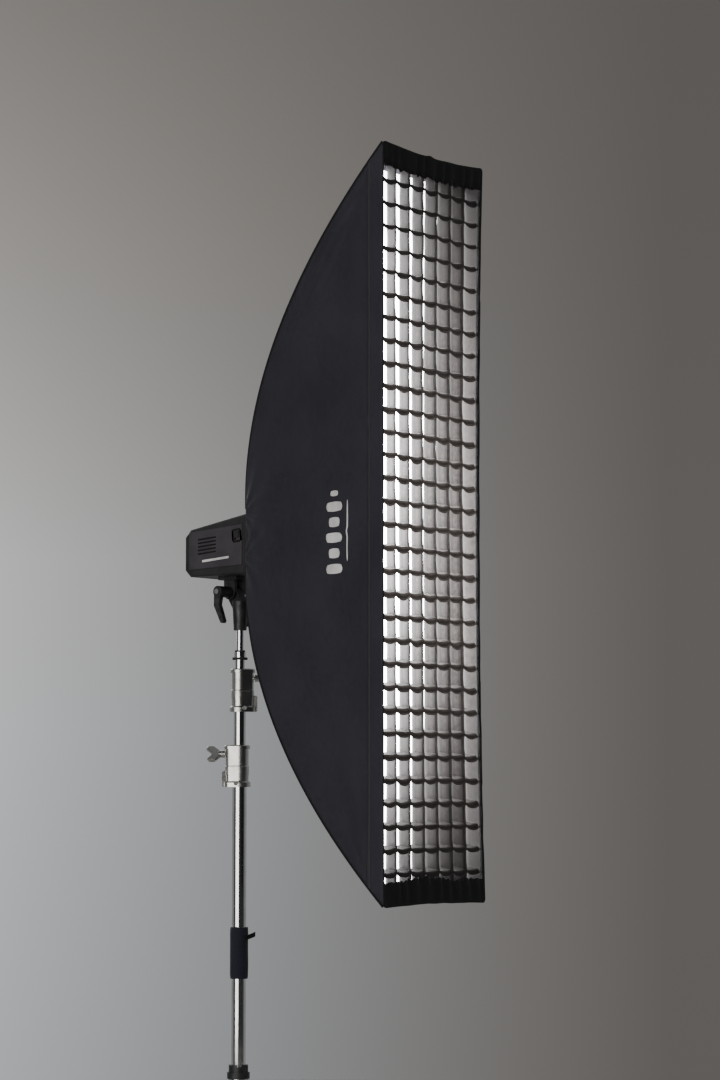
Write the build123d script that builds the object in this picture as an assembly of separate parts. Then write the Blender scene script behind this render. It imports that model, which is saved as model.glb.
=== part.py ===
from build123d import *
import math
import os

# Studio strip softbox with grid on a battery flash head, on a chromed column stand.
# Millimetres. +Z is up, the lit front faces -Y, and the floor is Z = 0.
# The origin is the middle of the whole object's footprint, on the floor.

# ---- Driving dimensions: softbox ----
AXIS_Z = 1500.0  # optical axis above the floor
BOX_W = 350.0  # front opening, across
BOX_H = 1600.0  # front opening, upright
BOX_DEPTH = 475.0  # front edge to the crown of the back, where the ring sits
RING_HALF_W = 70.0  # half width of the fabric's opening round the ring
RING_HALF_H = 60.0  # half height of the same opening
CLOTH = 1.2  # coated cloth of the shell, with its lining
LIP = 40.0  # depth of the front band ahead of the rod pockets
GRID_PITCH = 48.5
GRID_COLUMNS = 7
GRID_ROWS = 32
GRID_STRIP = 1.2
GRID_DEPTH = 38.0
GRID_SETBACK = 6.0
ROD_R = 2.2
ROD_INSET = 6.5  # rods run this far inside the cloth
ROD_TIP_DEPTH = 60.0
ROD_ROOT_X = 50.0  # where the rods plug in, from the optical axis
ROD_ROOT_Z = 43.0
SOCKET_HALF = 6.5  # half a rod socket's width
SOCKET_LENGTH = 15.0
BAFFLE_DEPTH = 262.0
BAFFLE_HALF_W = 112.0
BAFFLE_HALF_H = 500.0

# ---- Driving dimensions: stand ----
COLUMN_BEHIND_FRONT = 550.0  # column axis behind the softbox's front edge
LEG_REACH = 470.0  # column axis to the middle of a foot
LEG_R = 12.5
LEG_WALL = 1.5
LEG_SLOPE = 45.0  # degrees below level on the last run of a leg
LEG_BEND_R = 80.0
FOOT_R = 16.0
FOOT_LENGTH = 42.0
KNUCKLE_R = 27.0
KNUCKLE_H = 50.0
KNUCKLE_STEP = 52.0
KNUCKLE_Z = 152.0  # underside of the lowest leg knuckle
HUB_R = 20.0
HUB_CAP_Z = 308.0
HUB_CAP_TOP = 338.0
TUBE_R = (16.0, 13.5, 11.0)  # base tube, lower riser, upper riser
TUBE_WALL = 1.5
LOWER_COLLAR_Z = (948.0, 1041.0)
UPPER_COLLAR_Z = (1115.0, 1211.0)
LOWER_TEE_Z = 1021.0
UPPER_TEE_Z = 1190.0
SLEEVE_Z = (525.0, 642.0)
SLEEVE_R = 21.0
STUD_R = 8.0
STUD_SHOULDER_Z = (1236.0, 1248.0)
RUNNING = 0.05  # radial clearance of a running fit
GAP = 0.3  # clearance between pieces that don't touch

# ---- Driving dimensions: bracket and head ----
PIVOT_Z = AXIS_Z - 118.0
PIVOT_BEHIND_COLUMN = 17.0
SOCKET_Z = (1297.0, 1362.0)
HEAD_FRONT = 487.0  # casing front, behind the softbox's front edge
HEAD_REAR = 668.0
HEAD_HALF_W = 56.0
HEAD_BOTTOM = -82.0  # from the optical axis
HEAD_TOP_FRONT = 51.0
HEAD_TOP_REAR = 24.0
WALL = 3.0
PANEL_SLOPE = 4.0  # degrees that the side panels fall towards the rear
RING_FRONT = 456.0
RING_REAR = 469.0
RING_R = 70.0
RING_BORE_R = 52.0
LAMP_BORE_R = 43.0
LAMP_DEPTH = 443.0  # middle of the glass dome
DOME_R = 40.0
DOME_WALL = 2.0
BAYONET_R = 60.0
REAR_CUT = 16.0  # the casing's cut rear corners
BAY_FLOOR_X = -34.0  # the battery bay's inner wall
REAR_RECESS = 7.0
RECESS_LOW, RECESS_HIGH = (-50.0, -58.0), (50.0, 4.0)
PANEL_FRONT, PANEL_REAR = HEAD_REAR - 4.0, HEAD_REAR + 1.5
PANEL_PROUD = 2.0  # the battery's face stands out of the casing
VENT_DEPTH = 599.0
VENT_SIZE = (54.0, 3.6)
VENT_PITCH = 8.0
VENT_COUNT = 5
LATCH_DEPTH = (503.0, 517.0)
LATCH_HEIGHT = (0.0, 14.0)
LATCH_TRAVEL = 6.0
BUTTON_X = (-38.0, -20.0, -2.0)
BUTTON_Z = -44.0
BUTTON_R = 4.5
DIAL_XZ = (32.0, -38.0)
DIAL_R = 12.0
DIAL_STEM_R = 3.0
SWITCH_XZ = (34.0, -10.0)
SWITCH_TRAVEL = 6.0
KNOB_Z = 1312.0
BOLT_R = 4.0
LOWER_TEE_DIRECTION = 135.0  # between -X and +Y
UPPER_TEE_DIRECTION = -45.0  # between +X and -Y

# ---- Places worked out from the dimensions above ----
FOOT_SPAN = FOOT_R / math.sin(math.radians(LEG_SLOPE))  # sole's half length, along the leg
REAR_REACH = LEG_REACH * 0.5 + math.hypot(FOOT_SPAN * 0.5, FOOT_R * math.sqrt(0.75))
COLUMN_Y = (COLUMN_BEHIND_FRONT - REAR_REACH) / 2
FRONT_Y = COLUMN_Y - COLUMN_BEHIND_FRONT
PIVOT_Y = COLUMN_Y + PIVOT_BEHIND_COLUMN


def save(name, part):
    """Writes one node."""
    export_step(part, "parts/" + name + ".step")


def at_column(part, z=0.0):
    """Moves a part made round the Z axis onto the column."""
    return Pos(0, COLUMN_Y, z) * part


def tube(radius, wall, low, high):
    """An upright tube on the Z axis."""
    bar = Cylinder(radius, high - low) - Cylinder(radius - wall, high - low)
    return Pos(0, 0, (low + high) / 2) * bar


def rod_z(radius, low, high):
    """An upright round bar on the Z axis."""
    return Pos(0, 0, (low + high) / 2) * Cylinder(radius, high - low)


def disc_y(radius, front, rear):
    """A round bar along Y on the optical axis, between two depths behind the front edge."""
    bar = Rot(90, 0, 0) * Cylinder(radius, rear - front)
    return Pos(0, FRONT_Y + (front + rear) / 2, AXIS_Z) * bar


def block(low, high):
    """A box between two corners given as (x, depth behind the front edge, height from the axis)."""
    size = [b - a for a, b in zip(low, high)]
    middle = [(a + b) / 2 for a, b in zip(low, high)]
    return Pos(middle[0], FRONT_Y + middle[1], AXIS_Z + middle[2]) * Box(*size)


# ---- Softbox ----


def flare_face(half_ring, half_front, inset):
    """The softbox's outline as (depth, half size): a parabola both sides of the axis."""
    slope = BOX_DEPTH / (BOX_H / 2) ** 2
    ring_depth = BOX_DEPTH - slope * RING_HALF_H**2 - inset
    knee = BOX_DEPTH - slope * RING_HALF_H * BOX_H / 2 - inset
    middle = (half_ring + half_front) / 2 - inset
    front, ring = half_front - inset, half_ring - inset
    upper = Bezier((-inset, front), (knee, middle), (ring_depth, ring))
    lower = Bezier((-inset, -front), (knee, -middle), (ring_depth, -ring))
    rear = Line((ring_depth, ring), (ring_depth, -ring))
    edge = Line((-inset, front), (-inset, -front))
    return make_face([upper, rear, lower, edge])


def upright_prism(inset):
    """The side view outline carried across the softbox."""
    outline = Plane.YZ * flare_face(RING_HALF_H, BOX_H / 2, inset)
    return Pos(0, FRONT_Y, AXIS_Z) * extrude(outline, BOX_W, both=True)


def level_prism(inset):
    """The plan view outline carried up the softbox."""
    plane = Plane((0, 0, 0), x_dir=(0, 1, 0), z_dir=(0, 0, 1))
    outline = plane * flare_face(RING_HALF_W, BOX_W / 2, inset)
    return Pos(0, FRONT_Y, AXIS_Z) * extrude(outline, BOX_H, both=True)


def slab(front, rear):
    """Everything between two depths behind the front edge."""
    return block((-BOX_W, front, -BOX_H), (BOX_W, rear, BOX_H))


def envelope(inset, front, rear):
    """The softbox's inside at an inset from its skin, between two depths."""
    return upright_prism(inset) & level_prism(inset) & slab(front, rear)


def back_hole():
    """The opening in the back of the cloth, round the speed ring."""
    half_w, half_h = RING_HALF_W - CLOTH, RING_HALF_H - CLOTH
    return block((-half_w, BOX_DEPTH - 15, -half_h), (half_w, BOX_DEPTH + 5, half_h))


def side_panels():
    """The two long side panels, left then right."""
    band = level_prism(0) - level_prism(CLOTH)
    band = band & upright_prism(0) & slab(LIP, BOX_DEPTH)
    band = band - back_hole()
    left = band & block((-BOX_W, 0, -BOX_H), (-RING_HALF_W / 2, BOX_DEPTH, BOX_H))
    return left, mirror(left, Plane.YZ)


def end_panels():
    """The two narrow end panels, top then bottom, lying between the side panels."""
    band = upright_prism(0) - upright_prism(CLOTH)
    band = band & level_prism(CLOTH + GAP) & slab(LIP, BOX_DEPTH)
    band = band - back_hole()
    top = band & block((-BOX_W, 0, RING_HALF_H / 2), (BOX_W, BOX_DEPTH, BOX_H))
    middle = Plane(origin=(0, 0, AXIS_Z), z_dir=(0, 0, 1))
    return top, mirror(top, middle)


def front_lip():
    """The band of cloth that stands ahead of the rod pockets, round the grid."""
    rear = LIP - GAP
    return envelope(0, 0, rear) - envelope(CLOTH, -5, rear + 5)


def grid():
    """The cloth grid: crossing strips inside a border band."""
    front, rear = GRID_SETBACK, GRID_SETBACK + GRID_DEPTH
    outer = envelope(CLOTH + 2 * GAP, front, rear)
    inner = envelope(2 * CLOTH + 2 * GAP, front - 5, rear + 5)
    uprights = GridLocations(GRID_PITCH, 0, GRID_COLUMNS - 1, 1)
    levels = GridLocations(0, GRID_PITCH, 1, GRID_ROWS - 1)
    strips = Sketch() + [place * Rectangle(GRID_STRIP, BOX_H) for place in uprights]
    strips += [place * Rectangle(BOX_W, GRID_STRIP) for place in levels]
    plane = Plane((0, FRONT_Y + front, AXIS_Z), x_dir=(1, 0, 0), z_dir=(0, 1, 0))
    lattice = extrude(plane * strips, GRID_DEPTH)
    return (outer - inner) + (lattice & inner)


def front_diffuser():
    """The white cloth behind the grid."""
    depth = GRID_SETBACK + GRID_DEPTH + 5
    return envelope(2.5 * CLOTH, depth, depth + 1)


def inner_baffle():
    """The second, smaller white cloth half way back."""
    low = (-BAFFLE_HALF_W, BAFFLE_DEPTH, -BAFFLE_HALF_H)
    return block(low, (BAFFLE_HALF_W, BAFFLE_DEPTH + 1, BAFFLE_HALF_H))


def rod_path(side, up):
    """The middle line of one rod, from its socket to its pocket, along a corner of the box."""
    slope = BOX_DEPTH / (BOX_H / 2) ** 2
    z_root = RING_HALF_H - 6
    z_tip = math.sqrt((BOX_DEPTH - ROD_TIP_DEPTH) / slope)
    widening = (BOX_W / 2 - RING_HALF_W) / (BOX_H / 2 - RING_HALF_H)

    def point(z, depth):
        x = RING_HALF_W + widening * (z - RING_HALF_H) - ROD_INSET
        return (side * x, FRONT_Y + depth - ROD_INSET, AXIS_Z + up * (z - ROD_INSET))

    root = (side * ROD_ROOT_X, FRONT_Y + RING_FRONT - 3, AXIS_Z + up * ROD_ROOT_Z)
    knee = point((z_root + z_tip) / 2, BOX_DEPTH - slope * z_root * z_tip)
    tip = point(z_tip, ROD_TIP_DEPTH)
    return Bezier(root, knee, tip)


def rod(side, up, radius=ROD_R):
    """One sprung steel rod."""
    path = rod_path(side, up)
    section = Plane(path @ 0, z_dir=path % 0) * Circle(radius)
    return sweep(section, path)


def rod_sockets(rods):
    """The four blocks on the ring that the rods plug into."""
    blocks = []
    for (side, up), bar in rods.items():
        x, z = side * ROD_ROOT_X, up * ROD_ROOT_Z
        low = (x - SOCKET_HALF, RING_FRONT - SOCKET_LENGTH, z - SOCKET_HALF)
        high = (x + SOCKET_HALF, RING_FRONT, z + SOCKET_HALF)
        blocks.append(block(low, high) - bar)
    return Compound(children=blocks)


def corner_pockets(rods):
    """The four reinforced pockets in the corners that hold the rods' tips."""
    depth = ROD_TIP_DEPTH - ROD_INSET - 2
    lining = envelope(CLOTH + 2 * GAP, depth, depth + 20)
    pockets = []
    for (side, up), bar in rods.items():
        tip = rod_path(side, up) @ 1
        corner = Pos(tip.X + side * 14, tip.Y, tip.Z + up * 12) * Box(40, 60, 40)
        pockets.append((lining & corner) - bar)
    return Compound(children=pockets)


def speed_ring():
    """The aluminium ring that carries the rods and turns on the bayonet insert."""
    ring = disc_y(RING_R, RING_FRONT, RING_REAR) - disc_y(RING_BORE_R, RING_FRONT, RING_REAR)
    groove = disc_y(RING_R + 1, RING_REAR - 8, RING_REAR - 4)
    groove = groove - disc_y(RING_R - 2.5, RING_REAR - 8, RING_REAR - 4)
    return ring - groove


def bayonet_insert():
    """The turning insert: a barrel between two rims, with three locking tabs behind."""
    barrel = disc_y(RING_BORE_R - RUNNING, RING_FRONT - GAP, RING_REAR + GAP)
    front_rim = disc_y(RING_BORE_R + 3, RING_FRONT - 3, RING_FRONT - GAP)
    rear_rim = disc_y(RING_BORE_R + 6, RING_REAR + GAP, RING_REAR + 3)
    tab_front, tab_rear = RING_REAR + 3, RING_REAR + 8
    tabs = disc_y(49, tab_front, tab_rear) - disc_y(46, tab_front, tab_rear)
    keep = three_wedges(RING_R, 50, tab_front, tab_rear)
    body = front_rim + barrel + rear_rim - disc_y(LAMP_BORE_R, RING_FRONT - 10, HEAD_FRONT)
    neck = disc_y(46, tab_front, tab_rear) - disc_y(LAMP_BORE_R, tab_front, tab_rear)
    return body + neck + (tabs & keep)


def three_wedges(radius, angle, front, rear):
    """Three wedges of a disc, evenly spaced."""
    wedge = Rot(90, 0, 0) * Cylinder(radius, rear - front, arc_size=angle)
    wedges = [Rot(0, 120 * i, 0) * wedge for i in range(3)]
    middle = Pos(0, FRONT_Y + (front + rear) / 2, AXIS_Z)
    return middle * (wedges[0] + wedges[1] + wedges[2])


# ---- Flash head ----


def head_outline(inset):
    """The casing's side outline as (depth, height): a box with its rear corners cut."""
    front, rear = HEAD_FRONT + inset, HEAD_REAR - inset
    low, top_front = HEAD_BOTTOM + inset, HEAD_TOP_FRONT - inset
    top_rear, cut = HEAD_TOP_REAR - inset, REAR_CUT
    corners = [
        (front, low),
        (rear - cut, low),
        (rear, low + cut),
        (rear, top_rear - cut),
        (rear - cut, top_rear),
        (front, top_front),
    ]
    return make_face(Polyline(*corners, close=True).edges())


def head_prism(inset, low_x, high_x):
    """The casing's outline carried between two places across the head."""
    outline = Plane((low_x, FRONT_Y, AXIS_Z), x_dir=(0, 1, 0), z_dir=(1, 0, 0))
    return extrude(outline * head_outline(inset), high_x - low_x)


def bay_outline(inset):
    """The battery's side outline: a panel that falls towards the rear."""
    front, rear = HEAD_FRONT + 8 + inset, HEAD_REAR - 14 - inset
    drop = (rear - front) * math.tan(math.radians(PANEL_SLOPE))
    high, low = HEAD_TOP_FRONT - 21 - inset, HEAD_BOTTOM + 20 + inset
    corners = [(front, low), (rear, low - 5), (rear, high - drop), (front, high)]
    return make_face(Polyline(*corners, close=True).edges())


def bay_prism(inset, low_x, high_x):
    """The battery's outline carried between two places across the head."""
    outline = Plane((low_x, FRONT_Y, AXIS_Z), x_dir=(0, 1, 0), z_dir=(1, 0, 0))
    return extrude(outline * bay_outline(inset), high_x - low_x)


def casing():
    """The head's moulded housing, hollow, open for the battery, side cover and rear panel."""
    body = head_prism(0, -HEAD_HALF_W, HEAD_HALF_W)
    sides = body.faces().sort_by(Axis.X)
    body = chamfer(sides[0].edges() + sides[-1].edges(), 3.5)
    hollow = head_prism(WALL, BAY_FLOOR_X + WALL, HEAD_HALF_W - 2 * WALL)
    hollow = hollow & slab(HEAD_FRONT, HEAD_REAR - REAR_RECESS - WALL)
    body = body - hollow - bay_prism(0, -HEAD_HALF_W - 5, BAY_FLOOR_X)
    body = body - bay_prism(0, HEAD_HALF_W - WALL, HEAD_HALF_W + 5)
    body = body - disc_y(LAMP_BORE_R, HEAD_FRONT - 5, HEAD_FRONT + 10)
    low, high = RECESS_LOW, RECESS_HIGH
    floor = HEAD_REAR - REAR_RECESS
    recess = block((low[0], floor, low[1]), (high[0], HEAD_REAR + 5, high[1]))
    return body - recess


def vent_slots(low_x, high_x):
    """Five slots across a side panel, in line with its sloping edges."""
    slots = []
    for i in range(VENT_COUNT):
        bar = Rot(-PANEL_SLOPE, 0, 0) * Box(high_x - low_x, *VENT_SIZE)
        z = AXIS_Z + 2.0 - i * VENT_PITCH
        slots.append(Pos((low_x + high_x) / 2, FRONT_Y + VENT_DEPTH, z) * bar)
    return slots


def battery_pack():
    """The battery, whose outer face is the head's near side panel."""
    face_x = -HEAD_HALF_W - PANEL_PROUD
    pack = bay_prism(GAP, face_x, BAY_FLOOR_X - GAP)
    pack = chamfer(pack.faces().sort_by(Axis.X)[0].edges(), 1.2)
    pocket = latch_block(GAP + 0.1, -LATCH_TRAVEL - GAP)
    for slot in vent_slots(face_x - 1, face_x + 1.6):
        pack = pack - slot
    return pack - pocket


def latch_block(grow, extra_low):
    """The battery latch's block, grown all round and downwards for its travel."""
    face_x = -HEAD_HALF_W - PANEL_PROUD
    (front, rear), (bottom, top) = LATCH_DEPTH, LATCH_HEIGHT
    low = (face_x - 1.5 - grow, front - grow, bottom + extra_low - grow)
    high = (face_x + 5 + grow, rear + grow, top + grow)
    return block(low, high)


def side_cover():
    """The vented plate on the far side."""
    low_x = HEAD_HALF_W - WALL
    plate = bay_prism(GAP, low_x + 0.1, HEAD_HALF_W + 1.5)
    for slot in vent_slots(low_x - 1, HEAD_HALF_W + 3):
        plate = plate - slot
    return plate


def socket_y(x, z, radius, front, rear):
    """A round bar along Y at a place on the rear panel."""
    return Pos(x, 0, z) * disc_y(radius, front, rear)


def rear_panel():
    """The control panel in the rear recess, pierced for its controls."""
    low, high = RECESS_LOW, RECESS_HIGH
    plate = block(
        (low[0] + GAP, PANEL_FRONT, low[1] + GAP), (high[0] - GAP, PANEL_REAR, high[1] - GAP)
    )
    for x in BUTTON_X:
        plate = plate - socket_y(x, BUTTON_Z, BUTTON_R + GAP, PANEL_FRONT - 1, PANEL_REAR + 1)
    plate = plate - socket_y(*DIAL_XZ, DIAL_STEM_R + RUNNING, PANEL_FRONT - 1, PANEL_REAR + 1)
    x, z = SWITCH_XZ
    slot_low = (x - 4 - GAP, PANEL_FRONT - 1, z - 3 - GAP)
    slot_high = (x + 4 + SWITCH_TRAVEL + GAP, PANEL_REAR + 1, z + 3 + GAP)
    return plate - block(slot_low, slot_high)


def button(x):
    """One round key, long enough to stay in its hole when pressed."""
    key = socket_y(x, BUTTON_Z, BUTTON_R, PANEL_FRONT - 1.5, PANEL_REAR + 2)
    rim = key.faces().sort_by(Axis.Y)[-1].edges()
    return fillet(rim, 0.8)


def power_switch():
    """The sliding power switch's nub."""
    x, z = SWITCH_XZ
    low = (x - 4, PANEL_FRONT - 1, z - 3)
    return block(low, (x + 4, PANEL_REAR + 2.5, z + 3))


def dial():
    """The knurled setting dial on its stem."""
    stem = socket_y(*DIAL_XZ, DIAL_STEM_R, PANEL_FRONT - 1.5, PANEL_REAR + GAP)
    knob = socket_y(*DIAL_XZ, DIAL_R, PANEL_REAR + GAP, PANEL_REAR + 11)
    knob = chamfer(knob.faces().sort_by(Axis.Y)[-1].edges(), 1.2)
    x, z = DIAL_XZ
    for i in range(18):
        angle = math.radians(20 * i)
        place = (x + DIAL_R * math.cos(angle), z + DIAL_R * math.sin(angle))
        knob = knob - socket_y(*place, 0.8, PANEL_REAR + 2, PANEL_REAR + 12)
    return stem + knob


def lcd_window():
    """The display's clear window, let into the front of the control panel."""
    plate = block((-44, PANEL_REAR, -27), (4, PANEL_REAR + 1.2, -1))
    return chamfer(plate.faces().sort_by(Axis.Y)[-1].edges(), 0.6)


def bayonet_socket():
    """The head's front ring, which the insert's tabs lock into."""
    front, rear = RING_REAR + 3 + GAP, HEAD_FRONT
    ring = disc_y(BAYONET_R, front, rear) - disc_y(BAYONET_R - 10, front, rear - 4)
    return ring - disc_y(LAMP_BORE_R, rear - 4, rear)


def release_button():
    """The catch on top of the front ring that frees the insert."""
    low = (-9, HEAD_FRONT - 9, BAYONET_R + GAP)
    high = (9, HEAD_FRONT - 2, 68)
    return block(low, high)


def flash_tube():
    """The ring-shaped flash tube."""
    tube_ring = Rot(90, 0, 0) * Torus(26, 4)
    return Pos(0, FRONT_Y + LAMP_DEPTH - 2, AXIS_Z) * tube_ring


def modelling_lamp():
    """The small lamp in the middle of the flash tube, on its stalk."""
    bulb = Pos(0, FRONT_Y + LAMP_DEPTH - 6, AXIS_Z) * Sphere(10)
    return bulb + disc_y(7, LAMP_DEPTH - 4, HEAD_FRONT - GAP)


def glass_dome():
    """The frosted glass cover over the tube and lamp."""
    bore_r, rear = DOME_R - DOME_WALL, HEAD_FRONT - 4
    outer = Pos(0, FRONT_Y + LAMP_DEPTH, AXIS_Z) * Sphere(DOME_R)
    inner = Pos(0, FRONT_Y + LAMP_DEPTH, AXIS_Z) * Sphere(bore_r)
    front_half = slab(LAMP_DEPTH - DOME_R, LAMP_DEPTH)
    skirt = disc_y(DOME_R, LAMP_DEPTH, rear) - disc_y(bore_r, LAMP_DEPTH, rear)
    return ((outer - inner) & front_half) + skirt


def reflector_plate():
    """The bright plate behind the tube, with a hole for the lamp's stalk."""
    front = LAMP_DEPTH + 16
    return disc_y(37, front, front + 2) - disc_y(7 + GAP, front, front + 2)


def capacitor_bank():
    """Three storage capacitors side by side in the head's lower half."""
    cans = []
    for x in (-16, 10, 36):
        can = disc_y(11.5, HEAD_FRONT + 20, HEAD_FRONT + 85)
        cans.append(Pos(x, 0, -56) * can)
    return Compound(children=cans)


def circuit_board():
    """The main board, standing above the capacitors."""
    plate = block((-26, HEAD_FRONT + 14, -38), (46, HEAD_FRONT + 116, -36))
    coil = block((-10, HEAD_FRONT + 30, -36), (14, HEAD_FRONT + 54, -18))
    return plate + coil


def cooling_fan():
    """The fan behind the side cover: a frame round a bladed hub."""
    low_x, high_x = HEAD_HALF_W - 2 * WALL - 14, HEAD_HALF_W - 2 * WALL - 1
    half = 23.0
    frame_box = block((low_x, VENT_DEPTH - half, -9 - half), (high_x, VENT_DEPTH + half, -9 + half))
    middle = Pos((low_x + high_x) / 2, FRONT_Y + VENT_DEPTH, AXIS_Z - 9)
    bore = Rot(0, 90, 0) * Cylinder(20, high_x - low_x)
    hub = Rot(0, 90, 0) * Cylinder(8, high_x - low_x)
    blades = Rot(0, 90, 0) * Cylinder(20, 2)
    return (frame_box - middle * bore) + middle * (hub + blades)


def head_foot():
    """The plate and two ears under the head that hold it on the tilt bolt."""
    plate = Pos(0, PIVOT_Y, AXIS_Z + HEAD_BOTTOM - 4) * Box(50, 54, 8)
    ear = Pos(0, 0, 14) * Box(7.7, 32, 28) + Rot(0, 90, 0) * Cylinder(16, 7.7)
    ear = ear - Rot(0, 90, 0) * Cylinder(BOLT_R + RUNNING, 10)
    for side in (-1, 1):
        plate += Pos(side * (10 + GAP + 3.85), PIVOT_Y, PIVOT_Z) * ear
    return plate


# ---- Tilt bracket ----


def adapter_body():
    """The tapered stud socket with the pivot tongue on top."""
    low, high = SOCKET_Z
    cone = Pos(0, 0, (low + high) / 2) * Cone(14.5, 18, high - low)
    ribs = [rod_z(17.6 + i * 0.25, high - 12 + 4 * i, high - 10 + 4 * i) for i in range(3)]
    body = cone + ribs
    tongue = make_hull(
        (Circle(15) + Pos(PIVOT_BEHIND_COLUMN, PIVOT_Z - high + 10) * Circle(16)).edges()
    )
    plane = Plane((-10, 0, high - 10), x_dir=(0, 1, 0), z_dir=(1, 0, 0))
    body = body + extrude(plane * tongue, 20)
    body = body - rod_z(STUD_R + RUNNING, low - 1, high - 5)
    bolt_hole = Rot(0, 90, 0) * Cylinder(BOLT_R, 40)
    body = body - Pos(0, PIVOT_BEHIND_COLUMN, PIVOT_Z) * bolt_hole
    knob_hole = Rot(0, 90, 0) * Cylinder(3 + RUNNING, 30)
    return at_column(body - Pos(15 + STUD_R, 0, KNOB_Z) * knob_hole)


def adapter_knob():
    """The winged screw that locks the socket on the stud, pointing to +X."""
    screw = Pos(18.5, 0, 0) * Rot(0, 90, 0) * Cylinder(3, 20)
    hub = Pos(25, 0, 0) * Rot(0, 90, 0) * Cylinder(6, 14)
    wing = Box(16, 30, 5)
    wing = fillet(wing.edges().filter_by(Axis.Z), 3)
    wing = Rot(60, 0, 0) * wing
    part = screw + hub + Pos(37, 0, 0) * wing
    return at_column(part, KNOB_Z)


def tilt_bolt():
    """The pivot bolt, its nut on the far side and its cap screw outside the lever's hub."""
    shank = Pos(-18.5, 0, 0) * Rot(0, 90, 0) * Cylinder(BOLT_R, 81)
    hexagon = extrude(Plane.YZ * RegularPolygon(8, 6), 7)
    cap = Pos(-60, 0, 0) * Rot(0, 90, 0) * Cylinder(6, 3)
    cap = cap - Pos(-61.5, 0, 0) * Rot(0, 90, 0) * Cylinder(2.5, 2)
    return Pos(0, PIVOT_Y, PIVOT_Z) * (shank + Pos(19, 0, 0) * hexagon + cap)


def tilt_lever():
    """The curved locking lever that hangs beside the socket."""
    hub = Pos(-38.2, 0, 0) * Rot(0, 90, 0) * Cylinder(12.5, 39.2)
    upper = make_hull((Circle(10) + Pos(3, -30) * Circle(7.5)).edges())
    lower = make_hull((Pos(3, -30) * Circle(7.5) + Pos(-13, -66) * Circle(5)).edges())
    plane = Plane((-57.8, 0, 0), x_dir=(0, 1, 0), z_dir=(1, 0, 0))
    arm = extrude(plane * (upper + lower), 11)
    bore = Pos(-38, 0, 0) * Rot(0, 90, 0) * Cylinder(BOLT_R + RUNNING, 60)
    return Pos(0, PIVOT_Y, PIVOT_Z) * (hub + arm - bore)


# ---- Stand ----


def leg(index, turn):
    """A leg: a knuckle round the hub, a level run, a bend and a sloping run."""
    middle = KNUCKLE_Z + KNUCKLE_STEP * index + KNUCKLE_H / 2
    fall = middle - leg_end_z()
    bend_x = leg_end_x() - fall / math.tan(math.radians(LEG_SLOPE))
    path = FilletPolyline(
        (HUB_R + 4, 0, middle), (bend_x, 0, middle), (leg_end_x(), 0, leg_end_z()), radius=LEG_BEND_R
    )
    section = Plane(path @ 0, z_dir=path % 0) * (Circle(LEG_R) - Circle(LEG_R - LEG_WALL))
    plug = Plane(path @ 0, z_dir=path % 0) * Circle(LEG_R)
    knuckle = rod_z(KNUCKLE_R, middle - KNUCKLE_H / 2, middle + KNUCKLE_H / 2)
    knuckle = chamfer(knuckle.edges(), 2)
    part = knuckle + sweep(section, path) + extrude(plug, 8)
    part = part - rod_z(HUB_R + 0.06, middle - KNUCKLE_H, middle + KNUCKLE_H)
    return at_column(Rot(0, 0, turn - 90) * part)


def leg_end_z():
    """Height of a leg tube's end, inside its foot."""
    return 18.0


def leg_end_x():
    """Reach of a leg tube's end, up its slope from the middle of the foot's sole."""
    return LEG_REACH - leg_end_z() / math.tan(math.radians(LEG_SLOPE))


def foot(turn):
    """The rubber boot on a leg's end, cut level where it stands."""
    boot = Pos(0, 0, FOOT_LENGTH / 2 - FOOT_R * 2) * Cylinder(FOOT_R, FOOT_LENGTH + 4 * FOOT_R)
    inside = Pos(0, 0, 60 + leg_end_z() * math.sqrt(2)) * Cylinder(LEG_R, 120)
    boot = Rot(0, LEG_SLOPE - 90, 0) * (boot - inside)
    boot = boot & Pos(0, 0, 100) * Box(400, 400, 200)
    return at_column(Rot(0, 0, turn - 90) * Pos(LEG_REACH, 0, 0) * boot)


def hub_sleeve():
    """The sleeve that the leg knuckles turn on, with a flange under the lowest."""
    sleeve = tube(HUB_R, HUB_R - TUBE_R[0], KNUCKLE_Z - 2, HUB_CAP_Z - GAP)
    return at_column(sleeve + tube(KNUCKLE_R, KNUCKLE_R - TUBE_R[0], KNUCKLE_Z - 8, KNUCKLE_Z - GAP))


def hub_cap():
    """The black clamp ring above the knuckles, with a lug and a window in its rim."""
    ring = tube(25, 25 - TUBE_R[0], HUB_CAP_Z, HUB_CAP_Z + 14)
    rim = tube(21.5, 21.5 - TUBE_R[0], HUB_CAP_Z + 14, HUB_CAP_TOP)
    lug = Pos(20, 0, HUB_CAP_TOP - 9) * Box(8, 10, 18)
    lug = lug - rod_z(TUBE_R[0], HUB_CAP_Z, HUB_CAP_TOP)
    window = Pos(-14, -14, HUB_CAP_TOP) * Rot(0, 0, 45) * Box(20, 12, 8)
    return at_column(ring + rim + lug - window)


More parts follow.
